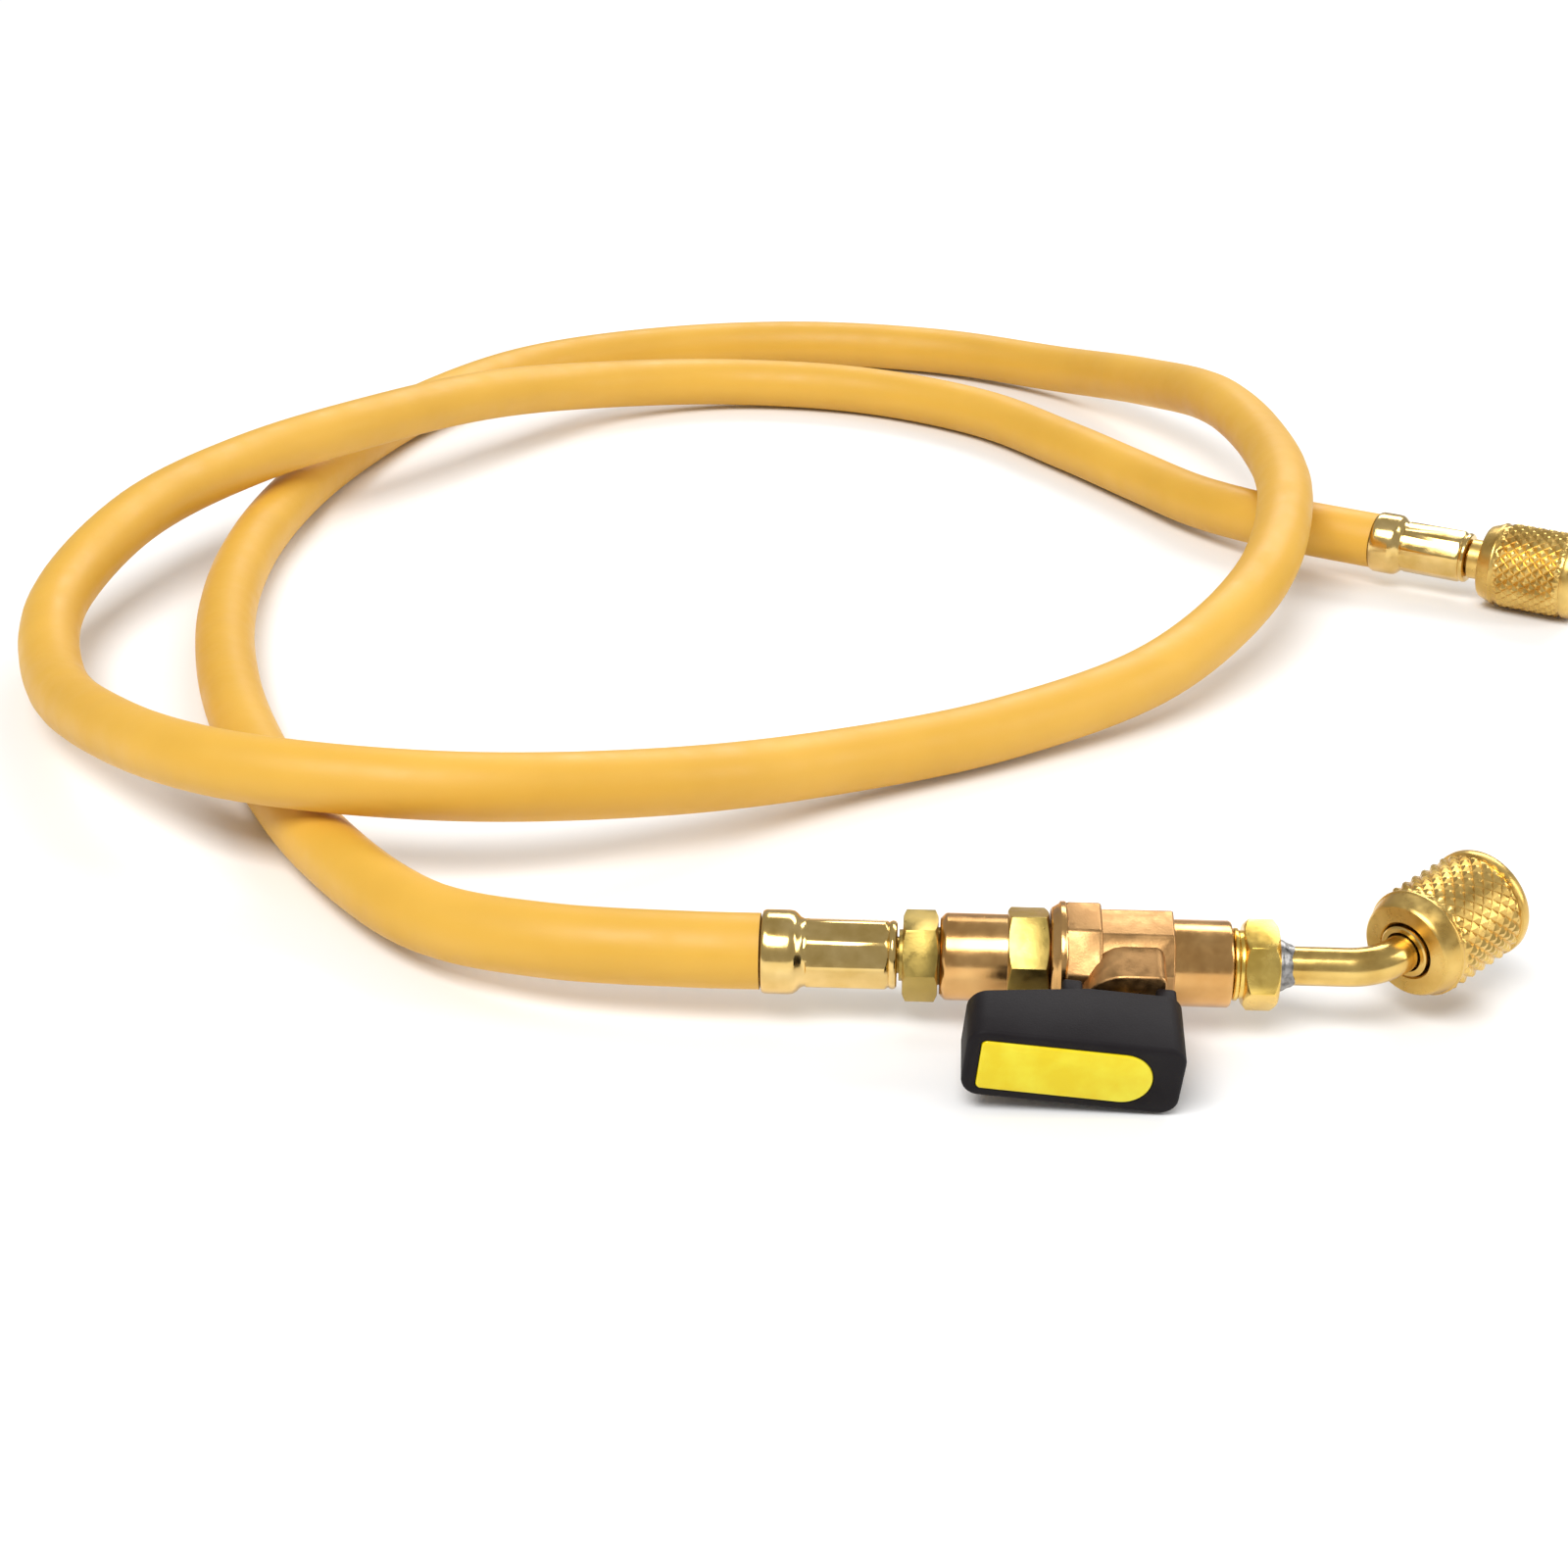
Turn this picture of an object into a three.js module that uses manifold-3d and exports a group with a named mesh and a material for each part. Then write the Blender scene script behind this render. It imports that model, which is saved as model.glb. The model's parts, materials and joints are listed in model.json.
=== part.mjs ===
// A refrigerant charging hose: a rubber hose with a crimped coupling at one end and a quarter-turn
// ball valve with a 45 degree tube at the other. Each end carries a knurled nut for a flare port.
// Millimetres, +Z up. The hose lies on the floor at z = 0. The origin is at the bottom centre of
// the box that holds the fittings, and +X is the way the nut on the bent tube faces.
import * as THREE from "three";
import { mergeVertices } from "three/addons/utils/BufferGeometryUtils.js";
import Module from "manifold-3d";

const wasm = await Module();
wasm.setup();

// Clearances
const GAP = 0.3;

// Hose
const HOSE_DIAMETER = 12.5;
const HOSE_SIDES = 10;
const HOSE_STEPS = 78;
const HOSE_STUB = 12;

// Crimped ferrule
const FERRULE_LENGTH = 22;
const FERRULE_BELL_DIAMETER = 13.8;
const FERRULE_BELL_LENGTH = 5.8;
const FERRULE_WAIST_LENGTH = 1.4;
const CRIMP_ACROSS_FLATS = 11;
const CRIMP_SIDES = 8;
const FERRULE_LIP_LENGTH = 0.8;
const FERRULE_LIP_DIAMETER = 11.4;

// Hose stem, whose tail is inside the crimp
const TAIL_DIAMETER = 6;
const TAIL_LENGTH = 14;
const STEM_BORE_DIAMETER = 3.6;
const STEM_NECK_DIAMETER = 8.4;
const STEM_NECK_LENGTH = 0.6;
const STEM_HEX_ACROSS_FLATS = 13;
const STEM_HEX_LENGTH = 5.7;
const STEM_HEX_ROLL = 41;

// Threaded sockets of the valve and the spigots that screw into them
const SPIGOT_DIAMETER = 9.4;
const SPIGOT_LENGTH = 7.5;
const FLOW_BORE_DIAMETER = 5.6;

// End cap of the valve: a round sleeve and a hexagon
const SLEEVE_DIAMETER = 14.2;
const CAP_SLEEVE_LENGTH = 10.9;
const CAP_HEX_ACROSS_FLATS = 15.3;
const CAP_HEX_LENGTH = 6.6;
const CAP_HEX_ROLL = 57;
const CAP_SPIGOT_DIAMETER = 11.6;
const CAP_SPIGOT_LENGTH = 4.2;

// Valve body, with the stem axis at x = 0
const RIM_LENGTH = 2.5;
const RIM_DIAMETER = 19.2;
const RIM_FACE_DIAMETER = 16.8;
const SHOULDER_ACROSS_FLATS = 18;
const SHOULDER_LENGTH = 5.5;
const BODY_ACROSS_FLATS = 16;
const BODY_LENGTH = 11.6;
const BODY_LEFT = -11.3;
const BODY_SLEEVE_LENGTH = 9.4;
const BOSS_RADIUS = 6.65;
const BOSS_CORNER_RADIUS = 1.5;
const BOSS_REACH = 12.3;

// Ball, its two seats and the spindle
const BALL_DIAMETER = 10.4;
const SEAT_OUTER_DIAMETER = 11.4;
const SEAT_INNER_DIAMETER = 6.4;
const SEAT_BACK = 5.9;
const SPINDLE_DIAMETER = 4.4;
const TANG_WIDTH = 1.4;
const TANG_DEPTH = 1.1;

// Lever
const LEVER_LENGTH = 33.8;
const LEVER_HUB_END = 8.5;
const LEVER_WIDTH = 13;
const LEVER_FACE = 29;
const LEVER_DEPTH = 13;
const LEVER_TIP_DEPTH = 9.5;
const LEVER_KINK = -6.5;
const LEVER_CORNER_RADIUS = 3;
const LEVER_SOCKET_DEPTH = 7;
const LEVER_REST_TURN = 5.5;
const HUB_LUG_CENTRE = 6;
const FREE_LUG_CENTRE = -8.8;
const STOP_LUG_SIZE = 3.2;
const STOP_LUG_LENGTH = 3.4;
const STOP_LUG_RISE = 3.9;
const INSERT_LENGTH = 26.8;
const INSERT_WIDTH = 9.4;
const INSERT_LEFT_MARGIN = 2.3;
const INSERT_THICKNESS = 1.2;
const INSERT_PROUD = 0.25;

// Tube adapter, solder and bent tube
const ADAPTER_RING_DIAMETER = 11.8;
const ADAPTER_RING_LENGTH = 1.6;
const ADAPTER_HEX_ACROSS_FLATS = 13;
const ADAPTER_HEX_LENGTH = 5.6;
const ADAPTER_HEX_ROLL = 29;
const TUBE_SOCKET_DEPTH = 5;
const SOLDER_LENGTH = 2.4;
const SOLDER_DIAMETER = 8.4;
const TUBE_DIAMETER = 6.35;
const TUBE_WALL = 0.9;
const TUBE_STRAIGHT_END = 36.5;
const TUBE_BEND_RADIUS = 12;
const TUBE_BEND_ANGLE = 45;
const TUBE_RISE = 8;
const TUBE_BEFORE_NUT = 2;

// Knurled flare nut, measured from its back face, and what it holds
const NUT_LENGTH = 21.5;
const NUT_DIAMETER = 19;
const NUT_BACK_DIAMETER = 16.4;
const NUT_CONE_DIAMETER = 18.6;
const NUT_CONE_LENGTH = 3.8;
const NUT_RIM_DIAMETER = 18.8;
const NUT_RIM_BAND = 2.3;
const NUT_CHAMFER = 0.7;
const NUT_NECK_HOLE_DIAMETER = 9.6;
const NUT_SHOULDER = 3.4;
const NUT_THREAD_DIAMETER = 11.2;
const NUT_MOUTH_DIAMETER = 12.2;
const NIPPLE_BORE_DIAMETER = 4.4;
const NIPPLE_FLANGE_LENGTH = 2.6;
const SEAL_LENGTH = 1.6;
const SEAL_HOLE_DIAMETER = 5.6;
const DEPRESSOR_PIN_DIAMETER = 1.4;
const DEPRESSOR_PIN_REACH = 2.6;
const DEPRESSOR_BAR_LENGTH = 3;

// Coupling at the far end
const COUPLING_NECK_LENGTH = 3.5;

// Where the fittings lie: the stem axis of the valve, and the mouth of the coupling's ferrule
const VALVE_PLACE = [-34.57, -90.73];
const VALVE_HEIGHT = 12;
const VALVE_TURN = -3.3;
const VALVE_ROLL = 10;
const COUPLING_PLACE = [47.83, 114.97];
const COUPLING_TURN = -31;

// Route of the hose between its two stubs, chosen by hand, as x, y and height of its centre
const ROUTE = [
  [-128.6, -81.7, 11], [-149.6, -68.7, 8.5], [-171.6, -38.7, 7], [-189.6, -0.7, 6.25],
  [-202.6, 37.3, 6.25], [-210.6, 77.3, 6.25], [-212.6, 117.3, 6.25], [-208.6, 157.3, 6.25],
  [-198.6, 197.3, 6.25], [-183.6, 234.3, 6.25], [-159.6, 266.3, 6.25], [-123.6, 285.3, 6.25],
  [-83.6, 291.3, 6.25], [-44.6, 282.3, 6.5], [-12.6, 259.3, 8], [7.4, 225.3, 14.5],
  [20.4, 187.3, 21], [26.4, 147.3, 22], [24.4, 107.3, 21.75], [12.4, 68.3, 16.5],
  [-11.6, 37.3, 9.75], [-44.6, 14.3, 7], [-79.6, -5.7, 8.5], [-113.6, -27.7, 14.5],
  [-150.6, -39.7, 19.5], [-189.6, -30.7, 19.5], [-217.6, -2.7, 14.5], [-236.6, 31.3, 10],
  [-244.6, 68.3, 12.5], [-235.6, 107.3, 18.25], [-216.6, 143.3, 19.75], [-190.6, 174.3, 19.75],
  [-166.6, 205.3, 16.75], [-140.6, 235.3, 10.5], [-105.6, 250.3, 7], [-68.6, 245.3, 6.25],
  [-36.6, 224.3, 6.25], [-15.6, 195.3, 6.25], [-0.6, 170.3, 6.5], [11.4, 148.3, 7.5],
  [24.4, 131.3, 9],
];

const brass = (color, roughness) =>
  new THREE.MeshStandardMaterial({ color, roughness, metalness: 1 });
const MATERIALS = {
  rubber: new THREE.MeshStandardMaterial({ color: 0xe2a93b, roughness: 0.6 }),
  polishedBrass: brass(0xd9b653, 0.22),
  hexBrass: brass(0xa8863a, 0.4),
  turnedBrass: brass(0xcf9a62, 0.28),
  forgedBrass: brass(0xa9743f, 0.5),
  goldenBrass: brass(0xddb44a, 0.3),
  solder: brass(0x8d8f94, 0.45),
  chrome: brass(0xd8d8d8, 0.12),
  seatPlastic: new THREE.MeshStandardMaterial({ color: 0xf0efe8, roughness: 0.5 }),
  sealRubber: new THREE.MeshStandardMaterial({ color: 0x1b1b1c, roughness: 0.7 }),
  leverPlastic: new THREE.MeshStandardMaterial({ color: 0x1c1a1c, roughness: 0.6 }),
  insertPlastic: new THREE.MeshStandardMaterial({ color: 0xf0dc10, roughness: 0.2 }),
};

const radians = THREE.MathUtils.degToRad;

// A closed mesh as a solid, with its shared corners merged and its empty faces dropped.
function solid(geometry) {
  const bare = geometry.clone();
  bare.deleteAttribute("normal");
  bare.deleteAttribute("uv");
  const merged = mergeVertices(bare, 1e-4);
  const index = merged.index.array;
  const faces = [];
  for (let i = 0; i < index.length; i += 3) {
    const [a, b, c] = index.slice(i, i + 3);
    if (a !== b && b !== c && c !== a) faces.push(a, b, c);
  }
  const mesh = new wasm.Mesh({
    numProp: 3,
    vertProperties: merged.attributes.position.array,
    triVerts: new Uint32Array(faces),
  });
  return new wasm.Manifold(mesh);
}

function geometryOf(body) {
  const mesh = body.getMesh();
  const geometry = new THREE.BufferGeometry();
  const positions = new THREE.BufferAttribute(mesh.vertProperties, mesh.numProp);
  geometry.setAttribute("position", positions);
  geometry.setIndex(new THREE.BufferAttribute(mesh.triVerts, 1));
  return geometry;
}

// A turned piece about the X axis. The outline is a list of [x, radius].
function turned(outline, sides = 32) {
  const points = outline.map(([x, r]) => new THREE.Vector2(r, x));
  const geometry = new THREE.LatheGeometry(points, sides);
  geometry.rotateZ(-Math.PI / 2);
  return solid(geometry);
}

// A turned piece that is plain inside: the outline runs from axis to axis.
function turnedBar(outline, sides) {
  const first = outline[0][0];
  const last = outline[outline.length - 1][0];
  return turned([[first, 0], ...outline, [last, 0]], sides);
}

// A turned ring between two radii.
function turnedRing(from, to, inner, outer, sides) {
  const outline = [[from, inner], [from, outer], [to, outer], [to, inner], [from, inner]];
  return turned(outline, sides);
}

// A bar with flat sides along the X axis. At roll 0 one corner points along -Y.
function flatSided(sides, acrossFlats, from, to, roll = 0) {
  const radius = acrossFlats / 2 / Math.cos(Math.PI / sides);
  const geometry = new THREE.CylinderGeometry(radius, radius, to - from, sides);
  geometry.rotateZ(-Math.PI / 2);
  geometry.rotateX(cornerTurn(geometry) - radians(roll));
  geometry.translate((from + to) / 2, 0, 0);
  return solid(geometry);
}

// The turn about X that brings the first corner of a flat-sided bar to -Y.
function cornerTurn(geometry) {
  const corners = geometry.attributes.position;
  return Math.PI - Math.atan2(corners.getZ(0), corners.getY(0));
}

// A turned cone that rounds the corners of a hexagon at both ends, as on a bought nut.
function hexagon(acrossFlats, from, to, roll) {
  const corner = acrossFlats / 2 / Math.cos(Math.PI / 6);
  const flat = acrossFlats / 2;
  const bevel = (corner - flat) * 0.6;
  const cone = turnedBar([[from, flat], [from + bevel, corner + 0.1],
    [to - bevel, corner + 0.1], [to, flat]], 24);
  return flatSided(6, acrossFlats, from, to, roll).intersect(cone);
}

// A flat outline in X and Z, raised along -Y from one depth to another.
function raised(shape, from, to, curveSegments = 5) {
  const depth = to - from;
  const geometry = new THREE.ExtrudeGeometry(shape, { depth, bevelEnabled: false, curveSegments });
  geometry.rotateX(Math.PI / 2);
  geometry.translate(0, -from, 0);
  return solid(geometry);
}

// A rectangle with its own radius on the left and on the right corners.
function roundedBox(left, right, half, leftRadius, rightRadius) {
  const shape = new THREE.Shape();
  shape.moveTo(left + leftRadius, -half);
  shape.lineTo(right - rightRadius, -half);
  shape.absarc(right - rightRadius, -half + rightRadius, rightRadius, -Math.PI / 2, 0, false);
  shape.absarc(right - rightRadius, half - rightRadius, rightRadius, 0, Math.PI / 2, false);
  shape.lineTo(left + leftRadius, half);
  shape.absarc(left + leftRadius, half - leftRadius, leftRadius, Math.PI / 2, Math.PI, false);
  shape.absarc(left + leftRadius, -half + leftRadius, leftRadius, Math.PI, 1.5 * Math.PI, false);
  return shape;
}

function block(size, centre) {
  const geometry = new THREE.BoxGeometry(...size);
  geometry.translate(...centre);
  return solid(geometry);
}

// A round rod along -Y, from one distance to another.
function rodTowardsLever(radius, from, to, sides = 20) {
  const geometry = new THREE.CylinderGeometry(radius, radius, to - from, sides);
  geometry.translate(0, -(from + to) / 2, 0);
  return solid(geometry);
}

function named(name, body, material) {
  const mesh = new THREE.Mesh(geometryOf(body), material);
  mesh.name = name;
  return mesh;
}

// The crimped ferrule, with its mouth at x = 0. Its bore takes the tail of the hose stem.
function ferrule() {
  const bell = FERRULE_BELL_DIAMETER / 2;
  const lip = FERRULE_LIP_DIAMETER / 2;
  const waistEnd = FERRULE_BELL_LENGTH + FERRULE_WAIST_LENGTH;
  const flat = CRIMP_ACROSS_FLATS / 2;
  const lipStart = FERRULE_LENGTH - FERRULE_LIP_LENGTH;
  const mouth = turnedBar([[0, bell - 0.4], [0.5, bell], [FERRULE_BELL_LENGTH, bell],
    [waistEnd, flat]], 32);
  const crimp = flatSided(CRIMP_SIDES, CRIMP_ACROSS_FLATS, FERRULE_BELL_LENGTH, lipStart, 10);
  const rim = turnedBar([[lipStart - 0.3, lip], [FERRULE_LENGTH, lip]], 24);
  const boreStart = FERRULE_LENGTH - TAIL_LENGTH - GAP;
  const bore = turnedBar([[boreStart, TAIL_DIAMETER / 2 + GAP],
    [FERRULE_LENGTH + 1, TAIL_DIAMETER / 2 + GAP]], 20);
  return mouth.add(crimp).add(rim).subtract(bore);
}

// The stem between the ferrule and the valve: tail, neck, hexagon and a threaded spigot.
function hoseStem(ferruleEnd) {
  const neckStart = ferruleEnd + GAP;
  const hexStart = neckStart + STEM_NECK_LENGTH;
  const hexEnd = hexStart + STEM_HEX_LENGTH;
  const spigotEnd = hexEnd + SPIGOT_LENGTH;
  const rod = turnedBar([[ferruleEnd - TAIL_LENGTH, TAIL_DIAMETER / 2],
    [neckStart, TAIL_DIAMETER / 2], [neckStart, STEM_NECK_DIAMETER / 2],
    [hexEnd, STEM_NECK_DIAMETER / 2], [hexEnd, SPIGOT_DIAMETER / 2],
    [spigotEnd, SPIGOT_DIAMETER / 2]], 24);
  const hex = hexagon(STEM_HEX_ACROSS_FLATS, hexStart, hexEnd, STEM_HEX_ROLL);
  const bore = turnedBar([[ferruleEnd - TAIL_LENGTH - 1, STEM_BORE_DIAMETER / 2],
    [spigotEnd + 1, STEM_BORE_DIAMETER / 2]], 16);
  return rod.add(hex).subtract(bore);
}

// The valve's end cap: a round sleeve, a hexagon and a spigot that closes the ball chamber.
function endCap(sleeveStart, hexEnd) {
  const hexStart = hexEnd - CAP_HEX_LENGTH;
  const round = SLEEVE_DIAMETER / 2;
  const spigotEnd = hexEnd + GAP + CAP_SPIGOT_LENGTH;
  const bar = turnedBar([[sleeveStart, round - 0.8], [sleeveStart + 0.8, round],
    [hexStart + 1, round], [hexStart + 1, CAP_SPIGOT_DIAMETER / 2],
    [spigotEnd, CAP_SPIGOT_DIAMETER / 2]], 32);
  const hex = hexagon(CAP_HEX_ACROSS_FLATS, hexStart, hexEnd, CAP_HEX_ROLL);
  const socketEnd = sleeveStart + SPIGOT_LENGTH + GAP;
  const bore = turnedBar([[sleeveStart - 1, SPIGOT_DIAMETER / 2 + GAP],
    [socketEnd, SPIGOT_DIAMETER / 2 + GAP], [socketEnd, FLOW_BORE_DIAMETER / 2],
    [spigotEnd + 1, FLOW_BORE_DIAMETER / 2]], 24);
  return bar.add(hex).subtract(bore);
}

// The outline of the stem boss: round, with one square corner that stops the lever.
function bossOutline() {
  const r = BOSS_RADIUS;
  const c = BOSS_CORNER_RADIUS;
  const shape = new THREE.Shape();
  shape.moveTo(0, r);
  shape.lineTo(r - c, r);
  shape.absarc(r - c, r - c, c, Math.PI / 2, 0, true);
  shape.lineTo(r, 0);
  shape.absarc(0, 0, r, 0, -1.5 * Math.PI, true);
  return shape;
}

function valveBody() {
  const blockStart = BODY_LEFT + RIM_LENGTH;
  const shoulderEnd = blockStart + SHOULDER_LENGTH;
  const blockEnd = shoulderEnd + BODY_LENGTH;
  const sleeveEnd = blockEnd + BODY_SLEEVE_LENGTH;
  const round = SLEEVE_DIAMETER / 2;
  const rim = turnedBar([[BODY_LEFT, RIM_FACE_DIAMETER / 2], [BODY_LEFT + 1.6, RIM_DIAMETER / 2],
    [blockStart, RIM_DIAMETER / 2]], 32);
  const shoulder = flatSided(8, SHOULDER_ACROSS_FLATS, blockStart - 0.2, shoulderEnd, 22.5);
  const middle = flatSided(8, BODY_ACROSS_FLATS, blockStart, blockEnd, 22.5);
  const sleeve = turnedBar([[blockEnd - 0.2, round], [sleeveEnd - 0.5, round],
    [sleeveEnd, round - 0.5]], 32);
  const boss = raised(bossOutline(), 2, BOSS_REACH, 8);
  const chamberEnd = SEAT_BACK + GAP;
  const chamber = SEAT_OUTER_DIAMETER / 2 + GAP;
  const socketStart = sleeveEnd - SPIGOT_LENGTH - GAP;
  const socket = SPIGOT_DIAMETER / 2 + GAP;
  const bore = turnedBar([[BODY_LEFT - 1, chamber], [chamberEnd, chamber],
    [chamberEnd, FLOW_BORE_DIAMETER / 2], [socketStart, FLOW_BORE_DIAMETER / 2],
    [socketStart, socket], [sleeveEnd + 1, socket]], 24);
  const spindleHole = rodTowardsLever(SPINDLE_DIAMETER / 2 + GAP, 3, BOSS_REACH + 1);
  return rim.add(shoulder).add(middle).add(sleeve).add(boss).subtract(bore).subtract(spindleHole);
}

function ball() {
  const radius = BALL_DIAMETER / 2;
  const sphere = solid(new THREE.SphereGeometry(radius, 20, 12));
  const bore = turnedBar([[-radius - 1, FLOW_BORE_DIAMETER / 2],
    [radius + 1, FLOW_BORE_DIAMETER / 2]], 16);
  const slotSide = TANG_WIDTH + 2 * GAP;
  const slotReach = radius - TANG_DEPTH - GAP;
  const slot = block([radius * 2, TANG_DEPTH + GAP + 1, slotSide],
    [0, -(slotReach + (TANG_DEPTH + GAP + 1) / 2), 0]);
  return sphere.subtract(bore).subtract(slot);
}

// One of the two rings that the ball turns in. Side is -1 or 1 along the flow.
function ballSeat(side) {
  const radius = BALL_DIAMETER / 2 + GAP;
  const front = 3.4;
  const ring = turnedRing(front, SEAT_BACK, SEAT_INNER_DIAMETER / 2, SEAT_OUTER_DIAMETER / 2, 24);
  const cup = solid(new THREE.SphereGeometry(radius, 20, 12));
  const seat = ring.subtract(cup);
  return side > 0 ? seat : seat.rotate([0, 0, 180]);
}

// The spindle turns the ball through its tang and ends in the lever's socket.
function spindle() {
  const radius = BALL_DIAMETER / 2;
  const end = LEVER_FACE - LEVER_DEPTH + LEVER_SOCKET_DEPTH - GAP;
  const rod = rodTowardsLever(SPINDLE_DIAMETER / 2, radius + GAP, end, 18);
  const tangFoot = radius - TANG_DEPTH;
  const tangTop = radius + GAP + 0.4;
  const tang = block([SPINDLE_DIAMETER * 0.8, tangTop - tangFoot, TANG_WIDTH],
    [0, -(tangFoot + tangTop) / 2, 0]);
  return rod.add(tang);
}

// The outline of the coloured insert: square on the free end, round on the hub end.
function insertOutline(margin) {
  const left = LEVER_HUB_END - LEVER_LENGTH + INSERT_LEFT_MARGIN;
  const half = INSERT_WIDTH / 2;
  const corner = 0.9;
  return roundedBox(left - margin, left + INSERT_LENGTH + margin, half + margin,
    corner + margin, half + margin);
}

function lever() {
  const left = LEVER_HUB_END - LEVER_LENGTH;
  const back = LEVER_FACE - LEVER_DEPTH;
  const outline = roundedBox(left, LEVER_HUB_END, LEVER_WIDTH / 2,
    LEVER_CORNER_RADIUS, LEVER_CORNER_RADIUS);
  const bar = raised(outline, back, LEVER_FACE);
  // The free end is shallower: a wedge comes off its back.
  const wedge = new THREE.Shape();
  const spare = 5;
  const slope = (LEVER_DEPTH - LEVER_TIP_DEPTH) / (LEVER_KINK - left);
  wedge.moveTo(LEVER_KINK, -back);
  wedge.lineTo(LEVER_KINK, -back + spare);
  wedge.lineTo(left - spare, -back + spare);
  wedge.lineTo(left - spare, -back - slope * (LEVER_KINK - left + spare));
  const cut = new THREE.ExtrudeGeometry(wedge, { depth: LEVER_WIDTH + 2, bevelEnabled: false });
  cut.translate(0, 0, -LEVER_WIDTH / 2 - 1);
  const lugAt = -(back - STOP_LUG_LENGTH / 2 + 0.5);
  const lugSize = [STOP_LUG_SIZE, STOP_LUG_LENGTH + 1, STOP_LUG_SIZE];
  const hubLug = block(lugSize, [HUB_LUG_CENTRE, lugAt, STOP_LUG_RISE]);
  const freeLug = block(lugSize, [FREE_LUG_CENTRE, lugAt, STOP_LUG_RISE]);
  const socket = rodTowardsLever(SPINDLE_DIAMETER / 2 + GAP, back - 1, back + LEVER_SOCKET_DEPTH);
  const recess = raised(insertOutline(GAP), LEVER_FACE - INSERT_THICKNESS - GAP, LEVER_FACE + 1);
  return bar.subtract(solid(cut)).add(hubLug).add(freeLug).subtract(socket).subtract(recess);
}

function leverInsert() {
  const front = LEVER_FACE + INSERT_PROUD;
  return raised(insertOutline(0), front - INSERT_PROUD - INSERT_THICKNESS, front);
}

// The adapter that screws into the body's sleeve and takes the tube.
function tubeAdapter(start) {
  const ringStart = start + GAP;
  const hexStart = ringStart + ADAPTER_RING_LENGTH;
  const hexEnd = hexStart + ADAPTER_HEX_LENGTH;
  const bar = turnedBar([[start - SPIGOT_LENGTH, SPIGOT_DIAMETER / 2],
    [ringStart, SPIGOT_DIAMETER / 2], [ringStart, ADAPTER_RING_DIAMETER / 2],
    [hexStart + 0.5, ADAPTER_RING_DIAMETER / 2]], 28);
  const hex = hexagon(ADAPTER_HEX_ACROSS_FLATS, hexStart, hexEnd, ADAPTER_HEX_ROLL);
  const socketStart = hexEnd - TUBE_SOCKET_DEPTH;
  const bore = turnedBar([[start - SPIGOT_LENGTH - 1, STEM_BORE_DIAMETER / 2],
    [socketStart, STEM_BORE_DIAMETER / 2], [socketStart, TUBE_DIAMETER / 2 + GAP],
    [hexEnd + 1, TUBE_DIAMETER / 2 + GAP]], 24);
  return bar.add(hex).subtract(bore);
}

function solderJoint(start) {
  const inner = TUBE_DIAMETER / 2 + GAP;
  const end = start + SOLDER_LENGTH;
  const outline = [[start, inner], [start, SOLDER_DIAMETER / 2],
    [start + SOLDER_LENGTH * 0.4, SOLDER_DIAMETER / 2 - 0.2], [end, inner + 0.25], [end, inner],
    [start, inner]];
  return turned(outline, 24);
}

// The point and heading at the end of the tube's bend, in the valve's own axes.
function bendEnd() {
  const angle = radians(TUBE_BEND_ANGLE);
  return {
    x: TUBE_STRAIGHT_END + TUBE_BEND_RADIUS * Math.sin(angle),
    side: TUBE_BEND_RADIUS * (1 - Math.cos(angle)),
    angle,
  };
}

// A hollow tube along its bend. Once the valve is rolled in place the bend rises by TUBE_RISE.
function bentTube(start, reachPastBend) {
  const points = [new THREE.Vector3(start, 0, 0)];
  const straightSteps = 3;
  for (let i = 1; i < straightSteps; i++) {
    points.push(new THREE.Vector3(start + (TUBE_STRAIGHT_END - start) * (i / straightSteps), 0, 0));
  }
  const bendSteps = 8;
  for (let i = 0; i <= bendSteps; i++) {
    const angle = radians(TUBE_BEND_ANGLE) * (i / bendSteps);
    points.push(new THREE.Vector3(TUBE_STRAIGHT_END + TUBE_BEND_RADIUS * Math.sin(angle),
      TUBE_BEND_RADIUS * (1 - Math.cos(angle)), 0));
  }
  const end = bendEnd();
  for (const share of [0.5, 1]) {
    points.push(new THREE.Vector3(end.x + reachPastBend * share * Math.cos(end.angle),
      end.side + reachPastBend * share * Math.sin(end.angle), 0));
  }
  const path = new THREE.CatmullRomCurve3(points, false, "centripetal");
  const section = ringSection(TUBE_DIAMETER / 2, TUBE_DIAMETER / 2 - TUBE_WALL);
  const geometry = new THREE.ExtrudeGeometry(section,
    { steps: 16, extrudePath: path, curveSegments: 18 });
  return solid(geometry);
}

function ringSection(outer, inner) {
  const shape = new THREE.Shape();
  shape.absarc(0, 0, outer, 0, 2 * Math.PI, false);
  const hole = new THREE.Path();
  hole.absarc(0, 0, inner, 0, 2 * Math.PI, true);
  shape.holes.push(hole);
  return shape;
}

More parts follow.
